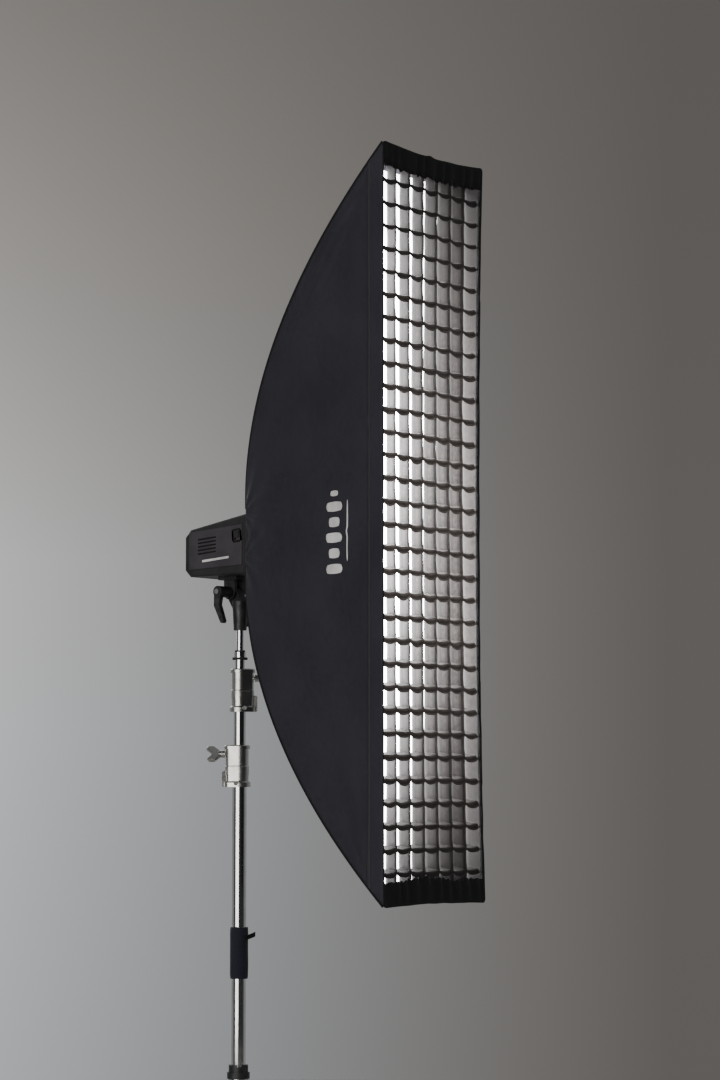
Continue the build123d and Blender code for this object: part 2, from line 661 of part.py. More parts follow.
def collar(z_range, low_r, high_r, body_r, tee_z, step_z, direction):
    """A clamp collar: egg-shaped casting with flared rims, stepped bore and screw hole."""
    low, high = z_range
    egg = make_hull((Circle(body_r) + Pos(19, 0) * Circle(12)).edges())
    body = Pos(0, 0, low) * extrude(egg, high - low)
    top_rim = Pos(0, 0, high - 9) * extrude(offset(egg, 3.2), 9)
    low_rim = Pos(0, 0, low) * extrude(offset(egg, 4.5), 13)
    waist = Pos(0, 0, (low + high) / 2 - 20) * extrude(offset(egg, 1.0), 18)
    part = body + chamfer(top_rim.faces().sort_by(Axis.Z)[-1].edges(), 2.5)
    part = part + chamfer(low_rim.faces().sort_by(Axis.Z)[-1].edges(), 3.5) + waist
    rivet = Rot(90, 0, 0) * Cylinder(4.5, 2 * body_r + 10)
    lug = Pos(34, 0, low + 18) * Box(10, 9, 36)
    lug = fillet(lug.edges().filter_by(Axis.Y), 4)
    part = part + Pos(10, 0, low + 8) * rivet + lug
    part = part - rod_z(low_r, low - 1, step_z) - rod_z(high_r + RUNNING, step_z, high + 1)
    hole = Pos(30, 0, tee_z) * Rot(0, 90, 0) * Cylinder(4 + RUNNING, 60)
    return at_column(Rot(0, 0, direction) * (part - hole))


def tee_handle(riser_r, z, direction, roll):
    """A clamp screw with a winged grip, pointing outwards along one direction."""
    screw = Rot(0, 90, 0) * Cylinder(4, 36 - riser_r - GAP)
    screw = Pos((36 + riser_r + GAP) / 2, 0, 0) * screw
    hub = Pos(40, 0, 0) * Rot(0, 90, 0) * Cone(8.5, 7, 14)
    half = [(46, 0), (42, 8), (56, 27), (69, 27), (73, 19), (60, 0)]
    outline = Polyline(*half, *[(x, -y) for x, y in half[-2:0:-1]], close=True)
    wing = extrude(make_face(outline.edges()), 4, both=True)
    wing = chamfer(wing.edges().filter_by(Plane.XY), 1.5)
    part = Rot(roll, 0, 0) * (screw + hub + Rot(90, 0, 0) * wing)
    return at_column(Rot(0, 0, direction) * part, z)


def grip_sleeve():
    """The neoprene sleeve round the base tube."""
    low, high = SLEEVE_Z
    sleeve = tube(SLEEVE_R, SLEEVE_R - TUBE_R[0] - GAP, low, high)
    rims = sleeve.edges().filter_by(GeomType.CIRCLE).group_by(SortBy.RADIUS)[-1]
    return at_column(fillet(rims, 2.5))


def top_stud():
    """The standard 16 mm spigot with its shoulder and the plug in the riser."""
    low, high = STUD_SHOULDER_Z
    stud = rod_z(STUD_R, high, SOCKET_Z[1] - 6)
    stud = chamfer(stud.faces().sort_by(Axis.Z)[-1].edges(), 1.5)
    shoulder = rod_z(13, low, high)
    plug = rod_z(TUBE_R[2] - TUBE_WALL - 0.1, low - 46, low)
    return at_column(stud + shoulder + plug)


def stud_rings():
    """The black rings under and over the stud's shoulder."""
    low, high = STUD_SHOULDER_Z
    under = tube(17, 17 - TUBE_R[2] + TUBE_WALL, low - 5, low)
    over = tube(11.5, 11.5 - STUD_R - 0.02, high, high + 4)
    return Compound(children=[at_column(under), at_column(over)])


def save_softbox():
    """Everything that turns with the speed ring."""
    corners = [(side, up) for up in (1, -1) for side in (-1, 1)]
    rods = {corner: rod(*corner) for corner in corners}
    for i, bar in enumerate(rods.values()):
        save("rod_" + str(i + 1), bar)
    save("rod_sockets", rod_sockets(rods))
    save("corner_pockets", corner_pockets(rods))
    save("speed_ring", speed_ring())
    for name, panel in zip(("panel_left", "panel_right"), side_panels()):
        save(name, panel)
    for name, panel in zip(("panel_top", "panel_bottom"), end_panels()):
        save(name, panel)
    save("front_lip", front_lip())
    save("grid", grid())
    save("front_diffuser", front_diffuser())
    save("inner_baffle", inner_baffle())


def save_head():
    """The flash head, its controls and its battery."""
    save("casing", casing())
    save("side_cover", side_cover())
    save("battery_pack", battery_pack())
    save("battery_latch", latch_block(0, 0))
    save("rear_panel", rear_panel())
    for i, x in enumerate(BUTTON_X):
        save("button_" + str(i + 1), button(x))
    save("power_switch", power_switch())
    save("dial", dial())
    save("lcd_window", lcd_window())
    save("bayonet_insert", bayonet_insert())
    save("bayonet_socket", bayonet_socket())
    save("release_button", release_button())
    save("flash_tube", flash_tube())
    save("modelling_lamp", modelling_lamp())
    save("glass_dome", glass_dome())
    save("reflector_plate", reflector_plate())
    save("capacitor_bank", capacitor_bank())
    save("circuit_board", circuit_board())
    save("cooling_fan", cooling_fan())
    save("head_foot", head_foot())


def save_bracket():
    """The tilt bracket between the head and the stud."""
    save("adapter_body", adapter_body())
    save("adapter_knob", adapter_knob())
    save("tilt_bolt", tilt_bolt())
    save("tilt_lever", tilt_lever())


def save_stand():
    """The column stand on its three legs."""
    for index, (name, turn) in enumerate((("front", 0), ("right", 120), ("left", -120))):
        save("leg_" + name, leg(index, turn))
        save("foot_" + name, foot(turn))
    save("hub_sleeve", hub_sleeve())
    save("hub_cap", hub_cap())
    base_r, lower_r, upper_r = TUBE_R
    step = LOWER_TEE_Z - 12
    save("base_tube", at_column(tube(base_r, TUBE_WALL, KNUCKLE_Z - 2, step)))
    lower = collar(LOWER_COLLAR_Z, base_r, lower_r, 20, LOWER_TEE_Z, step, LOWER_TEE_DIRECTION)
    save("lower_collar", lower)
    save("lower_tee_handle", tee_handle(lower_r, LOWER_TEE_Z, LOWER_TEE_DIRECTION, 55))
    save("grip_sleeve", grip_sleeve())
    step = UPPER_TEE_Z - 12
    save("lower_riser_tube", at_column(tube(lower_r, TUBE_WALL, 240, step)))
    upper = collar(UPPER_COLLAR_Z, lower_r, upper_r, 18, UPPER_TEE_Z, step, UPPER_TEE_DIRECTION)
    save("upper_collar", upper)
    save("upper_tee_handle", tee_handle(upper_r, UPPER_TEE_Z, UPPER_TEE_DIRECTION, -25))
    save("upper_riser_tube", at_column(tube(upper_r, TUBE_WALL, 300, STUD_SHOULDER_Z[0] - 5)))
    save("top_stud", top_stud())
    save("stud_rings", stud_rings())


os.makedirs("parts", exist_ok=True)
save_softbox()
save_head()
save_bracket()
save_stand()
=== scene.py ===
"""Looks of a strip softbox with a cloth grid, on a flash head and a chromed column stand."""

from __future__ import annotations

import logging
import math
from dataclasses import dataclass, field
from enum import Enum
from typing import Callable, Iterable, Sequence

import bmesh
import bpy
from mathutils import Matrix, Vector, noise
from mathutils.bvhtree import BVHTree


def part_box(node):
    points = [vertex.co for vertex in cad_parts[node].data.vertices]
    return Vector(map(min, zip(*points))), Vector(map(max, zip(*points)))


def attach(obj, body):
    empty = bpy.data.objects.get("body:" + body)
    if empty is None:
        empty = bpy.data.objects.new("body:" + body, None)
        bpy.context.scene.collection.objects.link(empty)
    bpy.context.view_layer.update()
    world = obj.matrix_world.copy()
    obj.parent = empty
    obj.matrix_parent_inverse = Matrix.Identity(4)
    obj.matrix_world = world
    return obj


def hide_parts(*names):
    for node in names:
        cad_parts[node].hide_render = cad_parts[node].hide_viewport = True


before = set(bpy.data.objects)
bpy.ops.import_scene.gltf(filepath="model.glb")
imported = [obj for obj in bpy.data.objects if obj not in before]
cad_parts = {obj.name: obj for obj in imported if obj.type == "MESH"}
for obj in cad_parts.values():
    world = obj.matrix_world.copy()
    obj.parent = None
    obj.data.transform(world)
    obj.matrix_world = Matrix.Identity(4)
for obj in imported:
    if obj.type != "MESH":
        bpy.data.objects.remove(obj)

LOG = logging.getLogger("softbox_stand")
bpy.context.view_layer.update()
Place = Callable[[float, float], Vector]
Rgba = tuple[float, float, float, float]

LAMP_HEIGHT = 1.5  # the optical axis over the floor, in metres
LAMP_REACH = 0.76  # from the axis to where the lamp's light has fallen off
STEADY_SHARE = 0.2  # the part of that reach that is lit in full
WAVE_REPEAT = math.tau / 20.0  # a wave texture's repeat at scale 1, in metres
PATTERN_START = (11.3, 4.7, 2.1)  # where the cloth's random folds are read from
SEWN_GAP = 0.00005  # how near two points are where an edge is sewn shut


# ---- Options ----


class Slot(Enum):
    """The record's material slots."""

    CHROME = "chrome"
    CHROME_CAST = "chrome_cast"
    BLACK_METAL = "black_metal"
    BLACK_PLASTIC = "black_plastic"
    PANEL_PLASTIC = "panel_plastic"
    RUBBER = "rubber"
    NEOPRENE = "neoprene"
    SHELL_CLOTH = "shell_cloth"
    WHITE_CLOTH = "white_cloth"
    GRID_CLOTH = "grid_cloth"
    SPRING_STEEL = "spring_steel"
    ALUMINIUM = "aluminium"
    FROSTED_GLASS = "frosted_glass"
    CLEAR_WINDOW = "clear_window"
    BOARD_GREEN = "board_green"


class Side(Enum):
    """The two long sides of the softbox, by the sign of X."""

    LEFT = -1
    RIGHT = 1


class End(Enum):
    """The two short ends of the softbox, by the sign of Z."""

    TOP = 1
    BOTTOM = -1


# ---- Shader building ----


class Tree:
    """A material's node tree, with short calls that add and join nodes."""

    def __init__(self, name: str) -> None:
        """Starts a material with one Principled shader.

        Args:
            name: the material's name.
        """
        self.material = bpy.data.materials.new(name)
        self.material.use_nodes = True
        self.nodes = self.material.node_tree.nodes
        self.links = self.material.node_tree.links
        self.shader = self.nodes["Principled BSDF"]
        self.coords = self.nodes.new("ShaderNodeTexCoord")

    def feed(self, node: bpy.types.Node, inputs: dict) -> bpy.types.Node:
        """Sets or joins a node's inputs.

        Args:
            node: the node.
            inputs: socket name or number to a value, or to an output socket.

        Returns:
            The same node.
        """
        for key, value in inputs.items():
            if isinstance(value, bpy.types.NodeSocket):
                self.links.new(value, node.inputs[key])
            else:
                node.inputs[key].default_value = value
        return node

    def add(self, kind: str, inputs: dict, **settings: object) -> bpy.types.Node:
        """Adds a node.

        Args:
            kind: the node's type without its ShaderNode prefix.
            inputs: what its sockets get.
            settings: the node's own properties.

        Returns:
            The new node.
        """
        node = self.nodes.new("ShaderNode" + kind)
        for key, value in settings.items():
            setattr(node, key, value)
        return self.feed(node, inputs)

    def math(self, operation: str, first: object, second: object = 0.0) -> bpy.types.NodeSocket:
        """The result of one sum on two numbers."""
        return self.add("Math", {0: first, 1: second}, operation=operation).outputs[0]

    def noise(self, vector: object, scale: float, detail: float = 3.0) -> bpy.types.NodeSocket:
        """Soft random blotches, from 0 to 1."""
        inputs = {"Vector": vector, "Scale": scale, "Detail": detail}
        return self.add("TexNoise", inputs).outputs["Fac"]

    def span(
        self, value: object, low: float, high: float, to_low: float, to_high: float
    ) -> bpy.types.NodeSocket:
        """A number carried from one range to another, held at its ends."""
        inputs = {0: value, 1: low, 2: high, 3: to_low, 4: to_high}
        return self.add("MapRange", inputs).outputs[0]

    def blend(self, share: object, first: object, second: object) -> bpy.types.NodeSocket:
        """A colour between two others."""
        inputs = {0: share, 6: first, 7: second}
        return self.add("Mix", inputs, data_type="RGBA").outputs[2]

    def stretch(self, vector: object, factors: Sequence[float]) -> bpy.types.NodeSocket:
        """Coordinates scaled along each axis."""
        return self.add("Mapping", {"Vector": vector, "Scale": factors}).outputs[0]

    def relief(
        self, height: object, depth: float, strength: float, base: object = None
    ) -> bpy.types.NodeSocket:
        """A bumped surface direction.

        Args:
            height: the height pattern, from 0 to 1.
            depth: how deep the pattern is, in metres.
            strength: how much of it is used.
            base: an earlier bump to add to.

        Returns:
            The direction's socket.
        """
        inputs = {"Height": height, "Distance": depth, "Strength": strength}
        if base is not None:
            inputs["Normal"] = base
        return self.add("Bump", inputs).outputs[0]

    def weave(self, vector: object, pitch: float) -> bpy.types.NodeSocket:
        """Crossing threads, from 0 to 1.

        Args:
            vector: the coordinates that the threads follow.
            pitch: from one thread to the next, in metres.

        Returns:
            The pattern's socket.
        """
        inputs = {"Vector": vector, "Scale": WAVE_REPEAT / pitch}
        bands = [self.add("TexWave", inputs, bands_direction=way).outputs["Fac"] for way in "XY"]
        return self.math("MAXIMUM", *bands)

    def fall(self, least: float) -> bpy.types.NodeSocket:
        """How the painted lamp light falls off towards the softbox's ends, by height alone.

        Args:
            least: the share left at the ends.

        Returns:
            The share's socket.
        """
        level = self.add("SeparateXYZ", {0: self.at}).outputs[2]
        away = self.math("ABSOLUTE", self.math("SUBTRACT", level, LAMP_HEIGHT))
        return self.span(away, LAMP_REACH * STEADY_SHARE, LAMP_REACH, 1.0, least)

    def surface(self, tone: object, rough: object, normal: object) -> None:
        """Joins the shader's colour, roughness and surface direction."""
        self.feed(self.shader, {"Base Color": tone, "Roughness": rough, "Normal": normal})

    @property
    def at(self) -> bpy.types.NodeSocket:
        """The place on the object, in metres."""
        return self.coords.outputs["Object"]

    @property
    def uv(self) -> bpy.types.NodeSocket:
        """The place on the flat cloth, in metres."""
        return self.coords.outputs["UV"]


def rgba(color: Sequence[float], scale: float = 1.0) -> Rgba:
    """A colour with full opacity, made lighter or darker."""
    return (color[0] * scale, color[1] * scale, color[2] * scale, 1.0)


@dataclass(frozen=True)
class Finish:
    """A surface finish, which makes its own material."""

    name: str
    color: tuple[float, float, float]
    roughness: float

    def dress(self, tree: Tree) -> None:
        """Fills in the material's nodes. Each kind of finish has its own."""

    def make(self) -> bpy.types.Material:
        """The material, made once and then shared.

        Returns:
            The material of this finish.
        """
        found = bpy.data.materials.get(self.name)
        if found is not None:
            return found
        tree = Tree(self.name)
        self.dress(tree)
        return tree.material


@dataclass(frozen=True)
class Plated(Finish):
    """Polished or cast metal under chrome, with handling marks. Scales are counts per metre."""

    grain: float = 0.0
    smear_scale: float = 22.0
    scratch_scales: tuple[float, float, float] = (900.0, 900.0, 14.0)
    scratch_depth: float = 0.00004
    pit_scale: float = 420.0
    pit_depth: float = 0.0002
    dent_scale: float = 60.0
    dent_depth: float = 0.0012

    def dress(self, tree: Tree) -> None:
        """Metal whose gloss is broken by smears, fine scratches and the casting's grain.

        Args:
            tree: the material's tree.
        """
        smears = tree.noise(tree.at, self.smear_scale, 5.0)
        scratches = tree.noise(tree.stretch(tree.at, self.scratch_scales), 1.0, 2.0)
        rough = tree.span(smears, 0.35, 0.75, self.roughness, self.roughness + 0.12)
        smeared = tree.span(smears, 0.4, 0.8, 0.0, 1.0)
        tone = tree.blend(smeared, rgba(self.color), rgba(self.color, 0.8))
        bumps = tree.relief(scratches, self.scratch_depth, 0.07)
        if self.grain > 0:
            pits = tree.noise(tree.at, self.pit_scale, 4.0)
            dents = tree.noise(tree.at, self.dent_scale, 2.0)
            bumps = tree.relief(pits, self.pit_depth, self.grain, bumps)
            bumps = tree.relief(dents, self.dent_depth, self.grain, bumps)
        tree.feed(tree.shader, {"Metallic": 1.0})
        tree.surface(tone, rough, bumps)


@dataclass(frozen=True)
class Painted(Finish):
    """Satin black paint on metal, dusty in places and rubbed in others."""

    wear: float = 0.25
    peel_scale: float = 900.0
    peel_depth: float = 0.00015
    dust_scale: float = 45.0
    dust_color: tuple[float, float, float] = (0.16, 0.155, 0.15)
    rub_scale: float = 130.0

    def dress(self, tree: Tree) -> None:
        """Paint with orange peel, dust and small rubbed spots.

        Args:
            tree: the material's tree.
        """
        peel = tree.noise(tree.at, self.peel_scale, 2.0)
        dust = tree.span(tree.noise(tree.at, self.dust_scale, 6.0), 0.5, 0.75, 0.0, self.wear)
        rubs = tree.noise(tree.at, self.rub_scale, 4.0)
        rough = tree.span(rubs, 0.3, 0.7, self.roughness - 0.08, self.roughness + 0.12)
        tone = tree.blend(dust, rgba(self.color), rgba(self.dust_color))
        tree.surface(tone, rough, tree.relief(peel, self.peel_depth, 0.35))


@dataclass(frozen=True)
class Moulded(Finish):
    """Moulded plastic with a fine spark-eroded grain."""

    grain: float = 0.4
    grain_scale: float = 1500.0
    grain_depth: float = 0.00018
    mark_scale: float = 30.0

    def dress(self, tree: Tree) -> None:
        """Fine grain, slight tone changes and hand marks in the gloss.

        Args:
            tree: the material's tree.
        """
        inputs = {"Vector": tree.at, "Scale": self.grain_scale}
        grain = tree.add("TexVoronoi", inputs).outputs["Distance"]
        marks = tree.noise(tree.at, self.mark_scale, 5.0)
        marked = tree.span(marks, 0.35, 0.7, 0.0, 1.0)
        tone = tree.blend(marked, rgba(self.color, 0.85), rgba(self.color, 1.2))
        rough = tree.span(marks, 0.3, 0.75, self.roughness - 0.07, self.roughness + 0.1)
        tree.surface(tone, rough, tree.relief(grain, self.grain_depth, self.grain))


@dataclass(frozen=True)
class Woven(Finish):
    """Woven cloth with threads, blotches and a soft sheen. Lengths are in metres."""

    pitch: float = 0.0009
    contrast: float = 0.25
    blotch: float = 18.0
    sheen: float = 0.1
    thread_depth: float = 0.0002
    crease_depth: float = 0.004
    hemmed: float = 0.0
    hem_wide: float = 0.0115
    hem_end: float = 0.0135
    stitch_row: float = 0.0052
    stitch_place: float = 0.0042
    # Painted glow: emission that stands for the lamp's light through the cloth, from its darkest to its
    # palest colour.
    glow: float = 0.0
    glow_dark: Rgba = (0.55, 0.455, 0.41, 1.0)
    glow_pale: Rgba = (1.45, 1.21, 1.1, 1.0)

    def hem(self, tree: Tree, tone: object, share: float) -> bpy.types.NodeSocket:
        """The colour with darker hems, partly the binding's own tone and partly painted shade, and
        their stitching along both edges of a strip.

        Args:
            tree: the material's tree.
            tone: the plain colour.
            share: how much darker the hems are.

        Returns:
            The colour's socket.
        """
        across = tree.add("SeparateXYZ", {0: tree.uv}).outputs[1]
        middle = self.hemmed / 2
        off = tree.math("ABSOLUTE", tree.math("SUBTRACT", across, middle))
        edge = tree.math("SUBTRACT", middle, off)
        row = tree.math("PINGPONG", edge, self.stitch_row)
        seam = tree.math("ABSOLUTE", tree.math("SUBTRACT", row, self.stitch_place))
        # The hems darken partly for the binding's own tone and partly as painted shade.
        hem_binding_and_shade = tree.span(edge, self.hem_wide, self.hem_end, share, 0.0)
        tone = tree.blend(hem_binding_and_shade, tone, rgba(self.color, 0.2))
        thread = tree.span(seam, 0.0003, 0.0009, 0.9, 0.0)
        kept = tree.span(edge, self.hem_wide, self.hem_wide + 0.001, 1.0, 0.0)
        return tree.blend(tree.math("MULTIPLY", thread, kept), tone, rgba(self.color, 0.03))

    def light_up(self, tree: Tree, shade: object) -> None:
        """Paints a faint glow on the cloth, standing for the lamp's light through thin cloth.

        Args:
            tree: the material's tree.
            shade: the pattern of its blotches, from 0 to 1.
        """
        painted_glow_tone = tree.blend(shade, self.glow_dark, self.glow_pale)
        if self.hemmed > 0:
            painted_glow_tone = self.hem(tree, painted_glow_tone, 0.3)
        glow = tree.math("MULTIPLY", tree.fall(0.06), self.glow)
        tree.feed(tree.shader, {"Emission Color": painted_glow_tone, "Emission Strength": glow})

    def dress(self, tree: Tree) -> None:
        """Crossing threads, blotches of wear and creases too small for the mesh.

        Args:
            tree: the material's tree.
        """
        threads = tree.weave(tree.uv, self.pitch)
        blotches = tree.noise(tree.at, self.blotch, 6.0)
        specks = tree.noise(tree.at, self.blotch * 14.0, 3.0)
        parts = tree.math("MULTIPLY", blotches, 0.6), tree.math("MULTIPLY", specks, 0.4)
        shade = tree.span(tree.math("ADD", *parts), 0.38, 0.62, 0.0, 1.0)
        dark, pale = rgba(self.color, 1.0 - self.contrast), rgba(self.color, 1.0 + self.contrast)
        gaps = tree.span(threads, 0.0, 1.0, 0.35, 0.0)
        tone = tree.blend(gaps, tree.blend(shade, dark, pale), rgba(self.color, 0.45))
        if self.hemmed > 0:
            tone = self.hem(tree, tone, 0.85)
        # Painted shade and painted glow: the colour darkens towards the softbox's ends, and a faint
        # glow is added.
        if self.glow > 0:
            tone = tree.blend(tree.fall(0.0), rgba(self.color, 0.3), tone)
            self.light_up(tree, shade)
        creases = tree.noise(tree.stretch(tree.at, (6.0, 6.0, 2.5)), 3.0, 5.0)
        bumps = tree.relief(threads, self.thread_depth, 0.6)
        bumps = tree.relief(creases, self.crease_depth, 0.35, bumps)
        rough = tree.span(blotches, 0.3, 0.7, self.roughness - 0.06, self.roughness + 0.08)
        tree.surface(tone, rough, bumps)
        sheen = {"Sheen Weight": self.sheen, "Sheen Roughness": 0.4, "Specular IOR Level": 0.35}
        tree.feed(tree.shader, sheen)


@dataclass(frozen=True)
class Lit(Finish):
    """White diffusing cloth with a painted glow that stands for the lamp behind it."""

    strength: float = 33.0
    half_width: float = 0.16
    left_painted_light: float = 1.15
    right_painted_light: float = 0.8
    pitch: float = 0.0008

    def dress(self, tree: Tree) -> None:
        """A painted glow that falls off towards the two ends and from the left side to the right,
        through visible threads.

        Args:
            tree: the material's tree.
        """
        across = tree.add("SeparateXYZ", {0: tree.at}).outputs[0]
        # Painted light: the glow is made stronger on the left side and weaker on the right.
        side = tree.span(across, -self.half_width, self.half_width, self.left_painted_light, self.right_painted_light)
        cloudy = tree.span(tree.noise(tree.at, 9.0, 3.0), 0.3, 0.7, 0.93, 1.05)
        glow = tree.math("MULTIPLY", tree.math("MULTIPLY", tree.fall(0.3), side), cloudy)
        glow = tree.math("MULTIPLY", glow, self.strength)
        threads = tree.weave(tree.uv, self.pitch)
        tone = tree.blend(threads, rgba(self.color, 0.9), rgba(self.color))
        tree.feed(tree.shader, {"Emission Color": tone, "Emission Strength": glow})
        tree.surface(tone, self.roughness, tree.relief(threads, 0.0002, 0.4))


@dataclass(frozen=True)
class Glassy(Finish):
    """Glass or a clear window."""

    frost: float = 0.0
    clear: float = 1.0

    def dress(self, tree: Tree) -> None:
        """Glass, with its frosting as fine grain.

        Args:
            tree: the material's tree.
        """
        grain = tree.noise(tree.at, 700.0, 2.0)
        rough = tree.span(grain, 0.3, 0.7, self.roughness, self.roughness + 0.1)
        tone = tree.blend(grain, rgba(self.color), rgba(self.color, 0.9))
        tree.feed(tree.shader, {"Transmission Weight": self.clear})
        tree.surface(tone, rough, tree.relief(grain, 0.0002, self.frost))


CHROME = Plated("chrome_plate", (0.78, 0.775, 0.76), 0.07)
CAST = Plated("cast_chrome", (0.62, 0.61, 0.58), 0.27, grain=0.3)
STEEL = Plated("spring_steel", (0.45, 0.45, 0.46), 0.3, grain=0.1)
TURNED = Plated("turned_aluminium", (0.6, 0.6, 0.62), 0.32, grain=0.15)
BLACK_PAINT = Painted("satin_black_paint", (0.018, 0.018, 0.02), 0.42)
# Painted shade: near-black put in the battery's vent slots and in the gap round its latch.
GAP_SHADE = Moulded("painted_gap_shade", (0.004, 0.004, 0.004), 0.9, grain=0.2)
BLACK_PLASTIC = Moulded("black_moulding", (0.022, 0.021, 0.022), 0.5)
PANEL_PLASTIC = Moulded("panel_moulding", (0.05, 0.045, 0.052), 0.55)
KEY_PLASTIC = Moulded("key_moulding", (0.09, 0.09, 0.095), 0.45)
RUBBER = Moulded("boot_rubber", (0.02, 0.02, 0.02), 0.75, grain=0.8)
NEOPRENE = Woven(
    "grip_neoprene", (0.016, 0.017, 0.03), 0.82, pitch=0.0012, contrast=0.35, sheen=0.35
)
SHELL = Woven(
    "coated_nylon", (0.0245, 0.024, 0.0345), 0.52, contrast=0.18, blotch=7.0, sheen=0.12
)
TRIM = Woven("black_binding", (0.008, 0.008, 0.009), 0.75, pitch=0.0015, sheen=0.08)
# The grid's strips and border carry a painted glow (glow) and painted shade towards the softbox's ends.
STRIP = Woven(
    "grid_strip",
    (0.027, 0.0228, 0.0208),
    0.7,
    pitch=0.0012,
    contrast=0.75,
    blotch=95.0,
    hemmed=0.034,
    glow=0.1,
)
RETURN = Woven(
    "grid_border",
    (0.026, 0.0225, 0.021),
    0.7,
    pitch=0.0012,
    contrast=0.6,
    blotch=60.0,
    glow=0.09,
)
# Both white cloths glow with painted light (strength).
WHITE = Lit("lit_diffuser", (1.0, 0.985, 1.0), 0.8)
BAFFLE = Lit("lit_baffle", (1.0, 0.985, 1.0), 0.8, strength=2.0)
THREAD = Woven("sewing_thread", (0.03, 0.03, 0.033), 0.6, pitch=0.0006)
PRINT = Moulded("white_print", (0.78, 0.77, 0.75), 0.6, grain=0.15)
FROST = Glassy("frosted_dome", (0.92, 0.93, 0.94), 0.35, frost=0.5)
TUBE_GLASS = Glassy("flash_glass", (0.95, 0.95, 0.93), 0.06, frost=0.05)
WINDOW = Glassy("display_window", (0.02, 0.026, 0.03), 0.08, clear=0.2)
BOARD = Moulded("solder_mask", (0.02, 0.13, 0.05), 0.4, grain=0.3)

CARRIED = {
    CHROME: (
        "base_tube lower_riser_tube upper_riser_tube top_stud leg_front leg_left leg_right hub_sleeve"
    ),
    CAST: "lower_collar upper_collar lower_tee_handle upper_tee_handle",
    STEEL: "tilt_bolt rod_1 rod_2 rod_3 rod_4",
    TURNED: "reflector_plate capacitor_bank",
    BLACK_PAINT: (
        "adapter_body tilt_lever adapter_knob hub_cap head_foot "
        "bayonet_socket speed_ring bayonet_insert"
    ),
    BLACK_PLASTIC: "casing dial battery_latch release_button cooling_fan rod_sockets",
    KEY_PLASTIC: "button_1 button_2 button_3 power_switch",
    PANEL_PLASTIC: "battery_pack side_cover rear_panel",
    RUBBER: "foot_front foot_left foot_right stud_rings",
    TRIM: "corner_pockets",
    FROST: "glass_dome",
    TUBE_GLASS: "flash_tube modelling_lamp",
    WINDOW: "lcd_window",
    BOARD: "circuit_board",
}


# ---- Mesh building ----


def to_object(name: str, mesh: bmesh.types.BMesh, smooth: bool = True) -> bpy.types.Object:
    """Makes an object at the origin from a finished bmesh.

    Args:
        name: the piece's name.
        mesh: the bmesh, which is freed.
        smooth: whether its faces are shaded as one curved surface.

    Returns:
        The new object.
    """
    data = bpy.data.meshes.new(name)
    for face in mesh.faces:
        face.smooth = smooth
    mesh.to_mesh(data)
    mesh.free()
    made = bpy.data.objects.new(name, data)
    bpy.context.scene.collection.objects.link(made)
    return made


def cloth(
    name: str,
    cells: tuple[int, int],
    size: tuple[float, float],
    place: Place,
    facing: Callable[[Vector], Vector],
    thickness: float,
    close: bool = False,
) -> bpy.types.Object:
    """Lays a flat cut of cloth over a shape and gives it its thickness inwards.

    Args:
        name: the piece's name.
        cells: the cells across and along the cut.
        size: the cut's size in metres, kept as its UV map.
        place: where a point of the cut goes, from its two shares.
        facing: the outward direction at a point, for the faces' turn.
        thickness: the cloth's thickness.
        close: whether the cut's first and last edges across are sewn together.

    Returns:
        The cloth's object.
    """
    mesh = bmesh.new()
    lay_cut(mesh, cells, size, place)
    if close:
        bmesh.ops.remove_doubles(mesh, verts=mesh.verts, dist=SEWN_GAP)
    mesh.normal_update()
    turned = sum(f.normal.dot(facing(f.calc_center_median())) * f.calc_area() for f in mesh.faces)
    if turned < 0:
        bmesh.ops.reverse_faces(mesh, faces=mesh.faces)
    return thicken(to_object(name, mesh), thickness)


def lay_cut(
    mesh: bmesh.types.BMesh, cells: tuple[int, int], size: tuple[float, float], place: Place
) -> None:
    """Adds one cut of cloth to a mesh, with its flat size as its UV map.

    Args:
        mesh: the bmesh that gets it.
        cells: the cells along and across the cut.
        size: the cut's size in metres.
        place: where a point of the cut goes, from its two shares.
    """
    layer = mesh.loops.layers.uv.get("UVMap") or mesh.loops.layers.uv.new("UVMap")
    made = bmesh.ops.create_grid(mesh, x_segments=cells[0], y_segments=cells[1], size=0.5)
    for face in {f for v in made["verts"] for f in v.link_faces}:
        for loop in face.loops:
            flat = loop.vert.co
            loop[layer].uv = ((flat.x + 0.5) * size[0], (flat.y + 0.5) * size[1])
    for vert in made["verts"]:
        vert.co = place(vert.co.x + 0.5, vert.co.y + 0.5)


def thicken(made: bpy.types.Object, thickness: float, offset: float = -1.0) -> bpy.types.Object:
    """Gives a cloth its thickness.

    Args:
        made: the cloth.
        thickness: its thickness.
        offset: -1 for all of it inwards from the laid surface, 0 for half on each side.

    Returns:
        The same object.
    """
    solid = made.modifiers.new("thickness", "SOLIDIFY")
    solid.thickness = thickness
    solid.offset = offset
    return made


